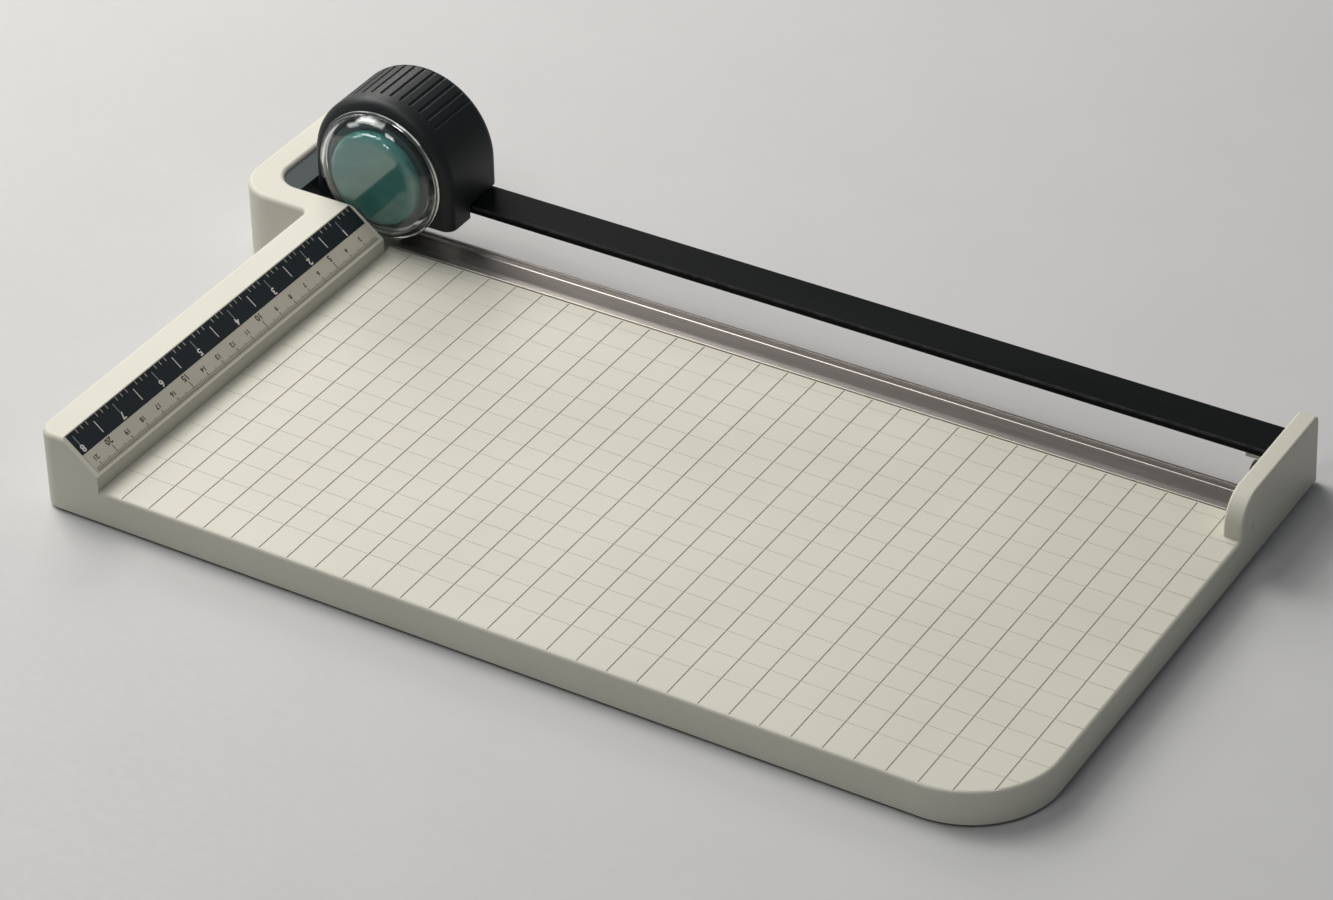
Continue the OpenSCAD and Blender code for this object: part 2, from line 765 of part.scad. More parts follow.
// Clear dome over the blade cartridge, with a flange against the housing
module blade_guard() {
    color([0.85, 0.92, 0.95, 0.35]) at_head() about_axle() {
        difference() {
            union() {
                rounded_section(guard_r, guard_front, guard_edge_r);
                translate([0, head_front + cad_gap]) square([guard_flange_r, guard_flange_t]);
            }
            // Hollow for the cartridge; everything behind the flange is open
            rounded_section(guard_r - guard_t, guard_front - guard_t, guard_edge_r - guard_t);
            translate([-1, -1]) square([guard_flange_r + 2, head_front + cad_gap + 1]);
        }
    }
}

// ==== Blade cartridge =======================================================================

module blade_hub() {
    color("lightseagreen") at_head() about_axle() difference() {
        union() {
            translate([0, hub_flange_front - hub_flange_t]) square([hub_flange_r, hub_flange_t]);
            square([hub_stem_r, hub_flange_front - hub_flange_t + eps]);
            translate([0, -hub_back]) square([blade_bore_r - screw_gap, hub_back + 1]);
            translate([0, hub_flange_front - eps]) difference() {
                square([cap_r - cap_wall - 0.1, 1.2]);
                square([cap_r - cap_wall - 2, 2]);
            }
        }
        translate([0, -hub_back - 1]) square([bush_r, hub_back + hub_recess + 1.1]);
        translate([0, hub_recess]) square([hub_recess_r, 4]);
    }
}

module hub_bush() {
    color("goldenrod") at_head() about_axle()
        translate([axle_r + run_gap, -hub_back])
            square([bush_r - axle_r - run_gap - 0.01, hub_recess - 0.1 + hub_back]);
}

module round_blade() {
    bevel = 1.2;
    color("silver") at_head() about_axle() polygon([
        [blade_bore_r, -blade_gap], [blade_r, -blade_gap], [blade_r - bevel, -blade_gap - blade_t],
        [blade_bore_r, -blade_gap - blade_t]
    ]);
}

module blade_nut() {
    color("gray") at_head() about_axle()
        translate([blade_bore_r, -nut_back]) square([nut_w, nut_back - blade_gap - blade_t - 0.02]);
}

module hub_washer() {
    color("silver") at_head() about_axle()
        translate([m3_r + 0.1, axle_front + cad_gap]) square([washer_r - m3_r, washer_t]);
}

module hub_screw() {
    color("gray") at_head() translate([0, -axle_front - washer_t - 2 * cad_gap, 0])
        rotate([-90, 0, 0]) pan_screw(m3_r, m3_head_r, m3_head_h, axle_thread);
}

module hub_cap() {
    color("teal") at_head() about_axle() difference() {
        translate([0, hub_flange_front]) rounded_section(cap_r, cap_front - hub_flange_front, cap_edge_r);
        translate([-1, hub_flange_front - 1])
            square([cap_r - cap_wall + 1, cap_front - hub_flange_front - cap_wall + 1]);
        // Flat back against the hub's flange
        translate([-1, hub_flange_front - cap_edge_r]) square([cap_r + 2, cap_edge_r]);
    }
}

// ==== Nodes =================================================================================

base_body();
foot_pads();
inch_scale();
metric_scale();
cutting_strip();
stiffener_bar();
strip_screws();
guide_rail();
rail_end_block();
end_block_screws();
rail_left_screw();
rail_support();
rail_support_screws();
rail_right_screw();
end_bumpers();
slide_shoe();
shoulder_screws();
press_springs();
carrier_frame();
axle_pin();
head_housing();
housing_screws();
blade_guard();
blade_hub();
hub_bush();
round_blade();
blade_nut();
hub_washer();
hub_screw();
hub_cap();
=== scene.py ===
"""Looks of the rotary paper trimmer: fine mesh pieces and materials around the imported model."""

import json
import math

import bmesh
import bpy
from mathutils import Matrix, Vector


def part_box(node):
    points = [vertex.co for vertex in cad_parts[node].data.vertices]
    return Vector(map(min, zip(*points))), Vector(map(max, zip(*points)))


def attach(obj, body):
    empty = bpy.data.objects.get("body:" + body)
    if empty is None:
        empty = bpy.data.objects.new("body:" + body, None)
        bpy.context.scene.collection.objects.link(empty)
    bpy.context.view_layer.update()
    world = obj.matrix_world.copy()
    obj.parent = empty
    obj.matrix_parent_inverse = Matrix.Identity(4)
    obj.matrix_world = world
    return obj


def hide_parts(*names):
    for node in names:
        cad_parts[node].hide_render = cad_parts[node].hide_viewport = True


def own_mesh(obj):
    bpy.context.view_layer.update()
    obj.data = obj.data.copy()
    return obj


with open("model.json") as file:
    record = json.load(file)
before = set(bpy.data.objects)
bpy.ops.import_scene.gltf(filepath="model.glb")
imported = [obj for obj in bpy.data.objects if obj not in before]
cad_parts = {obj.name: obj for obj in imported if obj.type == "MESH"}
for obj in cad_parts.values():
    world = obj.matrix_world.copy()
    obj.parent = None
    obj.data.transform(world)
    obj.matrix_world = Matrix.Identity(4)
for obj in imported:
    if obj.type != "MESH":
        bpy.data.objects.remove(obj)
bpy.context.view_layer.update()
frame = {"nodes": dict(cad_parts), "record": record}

NODES = frame["nodes"]
MM = 0.001


def box_mm(node):
    """Lowest and highest corner of a CAD node, in millimetres."""
    low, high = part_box(node)
    return low / MM, high / MM


# ---- Sizes, in millimetres, from the frame ---------------------------------------------------

base_low, base_high = box_mm("base_body")
strip_low, strip_high = box_mm("cutting_strip")
rail_low, rail_high = box_mm("guide_rail")
inch_low, inch_high = box_mm("inch_scale")
metric_low, metric_high = box_mm("metric_scale")
housing_low, housing_high = box_mm("head_housing")
blade_low, blade_high = box_mm("round_blade")
guard_low, guard_high = box_mm("blade_guard")
cap_low, cap_high = box_mm("hub_cap")

LEFT_X, FRONT_Y, BASE_Z = base_low
RIGHT_X, BACK_Y, LEDGE_TOP = base_high
DECK_TOP = strip_high.z
STRIP_Y = strip_low.y
CUT_Y = strip_high.y
STRIP_LEFT_PLAY = 0.3
STRIP_RIGHT_PLAY = 0.1
GUIDE_X = strip_low.x - STRIP_LEFT_PLAY
CHEEK_X = strip_high.x + STRIP_RIGHT_PLAY

WALL = 2.5
DECK_SKIN = 3.0
LEDGE_X = LEFT_X + 38.2
SLOPE_X = LEDGE_X + 12.7
SLOPE_DROP = 12.7
SLOPE_RUN = GUIDE_X - SLOPE_X
SLOPE_ANGLE = math.atan2(SLOPE_DROP, SLOPE_RUN)
ARM_Y = STRIP_Y - 18.5
INNER_Y = STRIP_Y - 5.0
BRACKET_INNER_X = LEFT_X + 12.7
REAR_LEAN = 3.0
CHEEK_TOP = DECK_TOP + 17.4
CHEEK_FRONT_Y = STRIP_Y - 15.5
SHELF_TOP = strip_low.z
SHELF_Y = CUT_Y - 3.0

GRID_PITCH = 12.7
INCH = 25.4
GRID_X = GUIDE_X + 10.5
GRID_Y = STRIP_Y - 6.0

AXLE = Vector(((blade_low.x + blade_high.x) / 2, CUT_Y, (blade_low.z + blade_high.z) / 2))
HEAD_R = (housing_high.x - housing_low.x) / 2


# ---- Mesh tools ------------------------------------------------------------------------------

def rounded_outline(corners, step_degrees=9.0):
    """Closed outline through (x, y, radius) corners, each rounded by a tangent arc."""
    points = []
    count = len(corners)
    for i, (x, y, radius) in enumerate(corners):
        here = Vector((x, y))
        if radius <= 0.0:
            points.append(here)
            continue
        to_last = (Vector(corners[i - 1][:2]) - here).normalized()
        to_next = (Vector(corners[(i + 1) % count][:2]) - here).normalized()
        half = to_last.angle(to_next) / 2
        setback = radius / math.tan(half)
        centre = here + (to_last + to_next).normalized() * radius / math.sin(half)
        start = here + to_last * setback - centre
        end = here + to_next * setback - centre
        sweep = start.angle_signed(end)
        steps = max(2, math.ceil(abs(math.degrees(sweep)) / step_degrees))
        for k in range(steps + 1):
            turned = Matrix.Rotation(-sweep * k / steps, 2) @ start
            points.append(centre + turned)
    return points


def prism(outline, low, high, axis="Z"):
    """Solid of an outline between two heights: axis Z reads it as (x, y), X as (y, z) and Y as (x, z)."""
    place = {
        "Z": lambda a, b, h: (a, b, h),
        "X": lambda a, b, h: (h, a, b),
        "Y": lambda a, b, h: (a, h, b),
    }[axis]
    mesh = bmesh.new()
    bottom = [mesh.verts.new(place(p[0], p[1], low)) for p in outline]
    top = [mesh.verts.new(place(p[0], p[1], high)) for p in outline]
    mesh.faces.new(bottom)
    mesh.faces.new(top)
    for i in range(len(outline)):
        j = (i + 1) % len(outline)
        mesh.faces.new((bottom[i], bottom[j], top[j], top[i]))
    bmesh.ops.recalc_face_normals(mesh, faces=mesh.faces)
    return mesh


def block(x0, y0, z0, x1, y1, z1):
    """Plain box between two corners."""
    return prism([(x0, y0), (x1, y0), (x1, y1), (x0, y1)], z0, z1)


def round_edges(mesh, width, chosen, segments=4):
    """Rounds the edges that pass a test of their two ends."""
    edges = [e for e in mesh.edges if chosen(e.verts[0].co, e.verts[1].co)]
    bmesh.ops.bevel(mesh, geom=edges, offset=width, segments=segments, profile=0.5, affect="EDGES",
                    clamp_overlap=True)


def cut_plane(mesh, point, normal):
    """Cuts off the side of the mesh that the normal points to, and closes the cut."""
    geometry = mesh.verts[:] + mesh.edges[:] + mesh.faces[:]
    cut = bmesh.ops.bisect_plane(mesh, geom=geometry, plane_co=point, plane_no=normal, clear_outer=True)
    rim = [g for g in cut["geom_cut"] if isinstance(g, bmesh.types.BMEdge)]
    bmesh.ops.edgeloop_fill(mesh, edges=rim)
    bmesh.ops.recalc_face_normals(mesh, faces=mesh.faces)


def lathe(profile, centre, axis="Y", steps=96, closed=True):
    """Turns (radius, distance) points about an axis through centre; distance runs along +axis."""
    mesh = bmesh.new()
    rings = []
    for k in range(steps):
        angle = 2 * math.pi * k / steps
        side, up = math.cos(angle), math.sin(angle)
        ring = []
        for radius, along in profile:
            local = {
                "Y": (radius * side, along, radius * up),
                "Z": (radius * side, radius * up, along),
                "X": (along, radius * side, radius * up),
            }[axis]
            ring.append(mesh.verts.new(Vector(centre) + Vector(local)))
        rings.append(ring)
    last = len(profile) if closed else len(profile) - 1
    for k in range(steps):
        ring, following = rings[k], rings[(k + 1) % steps]
        for i in range(last):
            j = (i + 1) % len(profile)
            mesh.faces.new((ring[i], ring[j], following[j], following[i]))
    bmesh.ops.remove_doubles(mesh, verts=mesh.verts, dist=1e-4)
    bmesh.ops.recalc_face_normals(mesh, faces=mesh.faces)
    return mesh


def joined(meshes):
    """One mesh that holds all the given ones."""
    whole = bmesh.new()
    for mesh in meshes:
        data = bpy.data.meshes.new("part")
        mesh.to_mesh(data)
        mesh.free()
        whole.from_mesh(data)
        bpy.data.meshes.remove(data)
    return whole


def hidden_object(name, mesh):
    """Object that only serves the boolean steps."""
    data = bpy.data.meshes.new(name)
    mesh.to_mesh(data)
    mesh.free()
    made = bpy.data.objects.new(name, data)
    bpy.context.scene.collection.objects.link(made)
    return made


def combined(mesh, steps):
    """Runs boolean steps, given as (operation, mesh), one after another, and returns the result."""
    target = hidden_object("boolean_target", mesh)
    tools = []
    for operation, tool_mesh in steps:
        tool = hidden_object("boolean_tool", tool_mesh)
        tools.append(tool)
        modifier = target.modifiers.new(operation, "BOOLEAN")
        modifier.operation = operation
        modifier.solver = "EXACT"
        modifier.object = tool
    graph = bpy.context.evaluated_depsgraph_get()
    done = bmesh.new()
    done.from_mesh(bpy.data.meshes.new_from_object(target.evaluated_get(graph)))
    for made in [target] + tools:
        bpy.data.objects.remove(made)
    bmesh.ops.remove_doubles(done, verts=done.verts, dist=1e-4)
    bmesh.ops.dissolve_degenerate(done, edges=done.edges, dist=1e-4)
    return done


SHARP_ANGLE = math.radians(32)


def make_piece(name, mesh, material, body, stands_for=(), smooth=True):
    """Turns a mesh in millimetres into a named piece on its body."""
    mesh.transform(Matrix.Scale(MM, 4))
    for face in mesh.faces:
        face.smooth = smooth
    for edge in mesh.edges:
        edge.smooth = len(edge.link_faces) == 2 and edge.calc_face_angle(0.0) < SHARP_ANGLE
    data = bpy.data.meshes.new(name)
    mesh.to_mesh(data)
    mesh.free()
    data.materials.append(material)
    piece = bpy.data.objects.new(name, data)
    bpy.context.scene.collection.objects.link(piece)
    if smooth:
        weighted = piece.modifiers.new("even_shading", "WEIGHTED_NORMAL")
        weighted.keep_sharp = True
    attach(piece, body)
    if stands_for:
        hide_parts(*stands_for)
    return piece


# ---- Material tools --------------------------------------------------------------------------

def new_material(name):
    """An empty node material with its principled shader."""
    material = bpy.data.materials.new(name)
    material.use_nodes = True
    tree = material.node_tree
    tree.nodes.clear()
    output = tree.nodes.new("ShaderNodeOutputMaterial")
    shader = tree.nodes.new("ShaderNodeBsdfPrincipled")
    tree.links.new(shader.outputs["BSDF"], output.inputs["Surface"])
    return material, tree, shader


def position(tree, scale=(1.0, 1.0, 1.0)):
    """Place on the object in millimetres, stretched by scale."""
    coords = tree.nodes.new("ShaderNodeTexCoord")
    mapping = tree.nodes.new("ShaderNodeMapping")
    mapping.inputs["Scale"].default_value = [s / MM for s in scale]
    tree.links.new(coords.outputs["Object"], mapping.inputs["Vector"])
    return mapping.outputs["Vector"]


def noise(tree, vector, scale, detail=3.0, roughness=0.55):
    """Noise around 0.5, with features about 1 / scale wide."""
    node = tree.nodes.new("ShaderNodeTexNoise")
    node.inputs["Scale"].default_value = scale
    node.inputs["Detail"].default_value = detail
    node.inputs["Roughness"].default_value = roughness
    tree.links.new(vector, node.inputs["Vector"])
    return node.outputs["Fac"]


def spread(tree, value, from_low, from_high, to_low, to_high):
    """Maps a range of a value onto another range."""
    node = tree.nodes.new("ShaderNodeMapRange")
    node.inputs["From Min"].default_value = from_low
    node.inputs["From Max"].default_value = from_high
    node.inputs["To Min"].default_value = to_low
    node.inputs["To Max"].default_value = to_high
    tree.links.new(value, node.inputs["Value"])
    return node.outputs["Result"]


def mixed(tree, amount, first, second):
    """Mixes two colours; each may be a colour or a node's output."""
    node = tree.nodes.new("ShaderNodeMix")
    node.data_type = "RGBA"
    tree.links.new(amount, node.inputs[0])
    for socket, colour in ((node.inputs[6], first), (node.inputs[7], second)):
        if isinstance(colour, tuple):
            socket.default_value = (*colour, 1.0)
        else:
            tree.links.new(colour, socket)
    return node.outputs[2]


def math_node(tree, operation, first, second):
    """One arithmetic step on values or node outputs."""
    node = tree.nodes.new("ShaderNodeMath")
    node.operation = operation
    for socket, value in zip(node.inputs, (first, second)):
        if isinstance(value, (int, float)):
            socket.default_value = value
        else:
            tree.links.new(value, socket)
    return node.outputs["Value"]


def edge_wear_and_highlight(tree, radius, low=0.0005, high=0.03):
    """1 on sharp edges and 0 on flat surfaces, broken up by noise."""
    bevel = tree.nodes.new("ShaderNodeBevel")
    bevel.samples = 4
    bevel.inputs["Radius"].default_value = radius * MM
    geometry = tree.nodes.new("ShaderNodeNewGeometry")
    dot = tree.nodes.new("ShaderNodeVectorMath")
    dot.operation = "DOT_PRODUCT"
    tree.links.new(bevel.outputs["Normal"], dot.inputs[0])
    tree.links.new(geometry.outputs["Normal"], dot.inputs[1])
    bend = math_node(tree, "SUBTRACT", 1.0, dot.outputs["Value"])
    wear_and_highlight_edges = spread(tree, bend, low, high, 0.0, 1.0)
    patches = spread(tree, noise(tree, position(tree), 0.25, 4.0, 0.7), 0.35, 0.65, 0.2, 1.0)
    return math_node(tree, "MULTIPLY", wear_and_highlight_edges, patches)


def set_bump(tree, shader, height, depth, edge_radius=0.0):
    """Bump of a depth in millimetres, over edges that are rounded by edge_radius."""
    node = tree.nodes.new("ShaderNodeBump")
    node.inputs["Distance"].default_value = depth * MM
    tree.links.new(height, node.inputs["Height"])
    if edge_radius > 0.0:
        bevel = tree.nodes.new("ShaderNodeBevel")
        bevel.samples = 4
        bevel.inputs["Radius"].default_value = edge_radius * MM
        tree.links.new(bevel.outputs["Normal"], node.inputs["Normal"])
    tree.links.new(node.outputs["Normal"], shader.inputs["Normal"])


def plastic(name, colour, roughness, grain=0.35, grain_depth=0.01, edge=0.3, uneven=0.03, wear=None,
            specular=0.5):
    """Moulded plastic: fine grain, slow colour variation, and edges rubbed to the wear colour."""
    material, tree, shader = new_material(name)
    where = position(tree)
    low = tuple(c * (1.0 - uneven) for c in colour)
    high = tuple(min(1.0, c * (1.0 + uneven)) for c in colour)
    slow = spread(tree, noise(tree, where, 0.018, 3.0), 0.35, 0.65, 0.0, 1.0)
    base = mixed(tree, slow, low, high)
    if wear:
        base = mixed(tree, edge_wear_and_highlight(tree, 0.6), base, wear)
    tree.links.new(base, shader.inputs["Base Color"])
    fine = noise(tree, where, 1.0 / grain, 3.0)
    tree.links.new(spread(tree, fine, 0.3, 0.7, roughness - 0.06, roughness + 0.06),
                   shader.inputs["Roughness"])
    shader.inputs["Specular IOR Level"].default_value = specular
    set_bump(tree, shader, fine, grain_depth, edge)
    return material


def metal(name, colour, roughness, grain=(1.0, 1.0, 1.0), streak=0.06, depth=0.001, edge=0.15):
    """Worked metal, with a grain that can be stretched along one direction."""
    material, tree, shader = new_material(name)
    shader.inputs["Metallic"].default_value = 1.0
    lines = noise(tree, position(tree, grain), 1.0, 4.0, 0.65)
    even = spread(tree, lines, 0.3, 0.7, 0.0, 1.0)
    dark = tuple(c * 0.86 for c in colour)
    tree.links.new(mixed(tree, even, dark, colour), shader.inputs["Base Color"])
    tree.links.new(spread(tree, lines, 0.3, 0.7, roughness - streak, roughness + streak),
                   shader.inputs["Roughness"])
    set_bump(tree, shader, lines, depth, edge)
    return material


def cream_material():
    """Cream moulded plastic with fine grain, faint scuffs on top, and painted shade that darkens its corners
    and creases.
    """
    material, tree, shader = new_material("cream_plastic")
    where = position(tree)
    slow = spread(tree, noise(tree, where, 0.012, 3.0), 0.35, 0.65, 0.0, 1.0)
    base = mixed(tree, slow, (0.548, 0.534, 0.458), (0.583, 0.570, 0.492))
    # Painted shade: ambient occlusion darkens the colour towards a brown grey in corners and creases.
    occlusion = tree.nodes.new("ShaderNodeAmbientOcclusion")
    occlusion.samples = 4
    occlusion.inputs["Distance"].default_value = 0.8 * MM
    crease_shade = spread(tree, occlusion.outputs["AO"], 0.25, 0.75, 0.5, 0.0)
    base = mixed(tree, crease_shade, base, (0.30, 0.27, 0.22))
    scratches = noise(tree, position(tree, (0.05, 2.2, 1.0)), 1.0, 5.0, 0.7)
    scuffed = spread(tree, scratches, 0.66, 0.72, 0.0, 0.10)
    base = mixed(tree, scuffed, base, (0.45, 0.42, 0.36))
    tree.links.new(base, shader.inputs["Base Color"])
    fine = noise(tree, where, 2.2, 4.0, 0.6)
    tree.links.new(spread(tree, fine, 0.3, 0.7, 0.44, 0.56), shader.inputs["Roughness"])
    shader.inputs["Specular IOR Level"].default_value = 0.4
    set_bump(tree, shader, fine, 0.012)
    return material


def strip_material():
    """Ground steel: long fine grinding lines along the cut and a few rubbed streaks."""
    material, tree, shader = new_material("ground_steel")
    shader.inputs["Metallic"].default_value = 1.0
    fine = noise(tree, position(tree, (0.02, 6.0, 6.0)), 1.0, 4.0, 0.7)
    broad = noise(tree, position(tree, (0.006, 0.5, 0.5)), 1.0, 3.0, 0.6)
    tone = mixed(tree, spread(tree, fine, 0.3, 0.7, 0.0, 1.0), (0.42, 0.385, 0.36), (0.56, 0.52, 0.49))
    tone = mixed(tree, spread(tree, broad, 0.4, 0.65, 0.0, 0.5), tone, (0.42, 0.39, 0.37))
    across = tree.nodes.new("ShaderNodeSeparateXYZ")
    tree.links.new(position(tree), across.inputs["Vector"])
    lip = spread(tree, across.outputs["Y"], STRIP_Y + 4.7, STRIP_Y + 4.9, 1.0, 0.0)
    tree.links.new(mixed(tree, lip, tone, (0.60, 0.57, 0.53)), shader.inputs["Base Color"])
    rough = spread(tree, fine, 0.3, 0.7, 0.36, 0.46)
    tree.links.new(rough, shader.inputs["Roughness"])
    set_bump(tree, shader, fine, 0.0012)
    return material


def clear_material():
    """Clear moulded plastic with fine hairline marks."""
    material, tree, shader = new_material("clear_plastic")
    shader.inputs["Base Color"].default_value = (0.93, 0.96, 0.96, 1.0)
    shader.inputs["Transmission Weight"].default_value = 1.0
    shader.inputs["IOR"].default_value = 1.49
    marks = noise(tree, position(tree), 0.7, 5.0, 0.7)
    tree.links.new(spread(tree, marks, 0.5, 0.75, 0.015, 0.09), shader.inputs["Roughness"])
    return material


def teal_material():
    """Glossy teal plastic with a soft sheen and slight flow marks."""
    material, tree, shader = new_material("teal_plastic")
    flow = noise(tree, position(tree, (0.05, 0.05, 0.12)), 1.0, 2.0)
    tone = mixed(tree, spread(tree, flow, 0.35, 0.65, 0.0, 1.0), (0.090, 0.330, 0.300), (0.115, 0.390, 0.355))
    tree.links.new(tone, shader.inputs["Base Color"])
    fine = noise(tree, position(tree), 1.5, 3.0)
    tree.links.new(spread(tree, fine, 0.3, 0.7, 0.12, 0.20), shader.inputs["Roughness"])
    shader.inputs["Specular IOR Level"].default_value = 0.9
    set_bump(tree, shader, fine, 0.002)
    return material


def rail_material():
    """Black satin paint on steel, with a painted highlight along the rubbed edges."""
    material, tree, shader = new_material("black_rail")
    where = position(tree)
    slow = spread(tree, noise(tree, position(tree, (0.01, 0.06, 0.06)), 1.0, 3.0), 0.35, 0.65, 0.0, 1.0)
    base = mixed(tree, slow, (0.0035, 0.0045, 0.005), (0.0055, 0.0065, 0.007))
    # Painted highlight: the edges are mixed towards pale grey, which stands for a light catching the edges as
    # well as for rubbed paint.
    wear_and_highlight_edges = edge_wear_and_highlight(tree, 0.5)
    base = mixed(tree, math_node(tree, "MULTIPLY", wear_and_highlight_edges, 0.7), base, (0.30, 0.30, 0.29))
    tree.links.new(base, shader.inputs["Base Color"])
    fine = noise(tree, where, 2.5, 3.0)
    tree.links.new(spread(tree, fine, 0.3, 0.7, 0.50, 0.60), shader.inputs["Roughness"])
    shader.inputs["Specular IOR Level"].default_value = 0.05
    set_bump(tree, shader, fine, 0.004)
    return material


def paint(node, material):
    """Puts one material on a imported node."""
    slots = NODES[node].data.materials
    slots.clear()
    slots.append(material)


# ---- Materials -------------------------------------------------------------------------------

MATERIALS = {
    "cream_plastic": cream_material(),
    "rubber": plastic("rubber", (0.03, 0.03, 0.03), 0.85, 0.5, 0.02),
    "black_scale": plastic("black_scale", (0.012, 0.018, 0.023), 0.40, 0.5, 0.002, 0.1, 0.08),
    "grey_scale": plastic("grey_scale", (0.50, 0.465, 0.39), 0.45, 0.5, 0.002, 0.1, 0.05),
    "ground_steel": strip_material(),
    "plain_steel": metal("plain_steel", (0.42, 0.43, 0.44), 0.45, (0.3, 0.6, 0.3)),
    "zinc_steel": metal("zinc_steel", (0.62, 0.62, 0.60), 0.33),
    "black_rail": rail_material(),
    "charcoal_plastic": plastic("charcoal_plastic", (0.040, 0.054, 0.056), 0.62, 0.4, 0.008, 0.4, 0.05,
                                (0.07, 0.08, 0.08), 0.15),
    "white_nylon": plastic("white_nylon", (0.70, 0.70, 0.66), 0.35, 0.8, 0.004),
    "spring_steel": metal("spring_steel", (0.55, 0.55, 0.56), 0.25),
    "black_plastic": plastic("black_plastic", (0.0105, 0.014, 0.015), 0.48, 0.35, 0.010, 0.4, 0.08,
                             (0.025, 0.028, 0.029), 0.3),
    "clear_plastic": clear_material(),
    "teal_plastic": teal_material(),
    "smoky_plastic": plastic("smoky_plastic", (0.030, 0.060, 0.062), 0.22, 0.8, 0.002, 0.2, 0.10),
    "brass": metal("brass", (0.78, 0.62, 0.32), 0.32, (1.0, 0.2, 1.0)),
    "blade_steel": metal("blade_steel", (0.75, 0.76, 0.78), 0.16, (0.6, 0.6, 0.6)),
}
for part in frame["record"]["subparts"]:
    paint(part["node"], MATERIALS[part["material_slot"]])

pale_ink = plastic("pale_ink", (0.66, 0.64, 0.58), 0.6, 0.3, 0.001, 0.0, 0.10)
soft_ink = plastic("soft_ink", (0.22, 0.26, 0.26), 0.6, 0.3, 0.001, 0.0, 0.10)
brown_ink = plastic("brown_ink", (0.36, 0.32, 0.26), 0.6, 0.3, 0.001, 0.0, 0.15)
dark_ink = plastic("dark_ink", (0.05, 0.043, 0.034), 0.6, 0.3, 0.001, 0.0, 0.15)


# ---- Base ------------------------------------------------------------------------------------

DECK_EDGE_R = 1.6
LEDGE_EDGE_R = 2.0
FRONT_LEFT_R = 8.0
FRONT_RIGHT_R = 37.0
BRACKET_OUTER_R = 19.0
BRACKET_INNER_R = 11.5
BRACKET_END_R = 1.5
ARM_CORNER_R = 2.4
CHEEK_FRONT_R = 12.0
CHEEK_REAR_R = 3.0
CHEEK_EDGE_R = 1.1


def deck_outline(inset=0.0):
    """Plan of the deck in front of the strip, with its two rounded front corners."""
    return rounded_outline([
        (LEDGE_X + inset, FRONT_Y + inset, FRONT_LEFT_R - inset),
        (RIGHT_X - inset, FRONT_Y + inset, FRONT_RIGHT_R - inset),
        (RIGHT_X - inset, STRIP_Y - inset, 0.0),
        (LEDGE_X + inset, STRIP_Y - inset, 0.0),
    ], 5.0)


def ledge_outline(inset=0.0):
    """Plan of the ruler ledge and the C-shaped left bracket, which share one top."""
    return rounded_outline([
        (GUIDE_X - inset, FRONT_Y + inset, 0.0),
        (LEDGE_X + inset, FRONT_Y + inset, FRONT_LEFT_R - inset),
        (LEDGE_X + inset, ARM_Y + inset, ARM_CORNER_R + inset),
        (LEFT_X + inset, ARM_Y + inset, BRACKET_OUTER_R - inset),
        (LEFT_X + inset, BACK_Y - inset, BRACKET_END_R),
        (BRACKET_INNER_X - inset, BACK_Y - inset, BRACKET_END_R),
        (BRACKET_INNER_X - inset, INNER_Y - inset, BRACKET_INNER_R + inset),
        (GUIDE_X - inset, INNER_Y - inset, 0.0),
    ], 7.5)


def ledge_solid():
    """Ledge and left bracket, cut to the slope and the leaning rear end, with soft upper edges."""
    mesh = prism(ledge_outline(), BASE_Z, LEDGE_TOP)
    cut_plane(mesh, (SLOPE_X, 0, LEDGE_TOP), (math.sin(SLOPE_ANGLE), 0, math.cos(SLOPE_ANGLE)))
    lean = math.atan2(REAR_LEAN, LEDGE_TOP - BASE_Z)
    cut_plane(mesh, (0, BACK_Y, BASE_Z), (0, math.cos(lean), math.sin(lean)))

    def upper_rim(a, b):
        flat = a.z > LEDGE_TOP - 0.01 and b.z > LEDGE_TOP - 0.01
        crest = abs(a.x - SLOPE_X) < 0.01 and abs(b.x - SLOPE_X) < 0.01
        return flat and not crest

    round_edges(mesh, LEDGE_EDGE_R, upper_rim, 5)
    return mesh


def bead_solid():
    """Rounded bead along the foot of the slope, which guides the paper."""
    radius = 1.7
    bottom = DECK_TOP - 2
    top = LEDGE_TOP - SLOPE_DROP + 0.7
    front, back = FRONT_Y + 0.6, INNER_Y - 0.4
    outline = rounded_outline([
        (GUIDE_X - 2 * radius, bottom, 0.0),
        (GUIDE_X, bottom, 0.0),
        (GUIDE_X, top, radius),
        (GUIDE_X - 2 * radius, top, radius - 0.01),
    ])
    return prism(outline, front, back, "Y")


def cheek_solid():
    """Right bracket: round front shoulder, flat top, leaning rear end, soft edges all round."""
    rear = BACK_Y - REAR_LEAN
    outline = rounded_outline([
        (CHEEK_FRONT_Y, BASE_Z, 0.0),
        (BACK_Y, BASE_Z, 0.0),
        (rear, CHEEK_TOP, CHEEK_REAR_R),
        (CHEEK_FRONT_Y, CHEEK_TOP, CHEEK_FRONT_R),
    ], 7.5)
    mesh = prism(outline, CHEEK_X, RIGHT_X, "X")

    def side_rim(a, b):
        return abs(a.x - b.x) < 0.01 and max(a.z, b.z) > BASE_Z + 0.1

    round_edges(mesh, CHEEK_EDGE_R, side_rim, 4)
    return mesh


def deck_solid():
    """Deck block with a soft upper edge, except where it meets the strip."""
    mesh = prism(deck_outline(), BASE_Z, DECK_TOP)
    back = STRIP_Y - 0.01

    def top_rim(a, b):
        return min(a.z, b.z) > DECK_TOP - 0.01 and min(a.y, b.y) < back

    round_edges(mesh, DECK_EDGE_R, top_rim, 5)
    return mesh


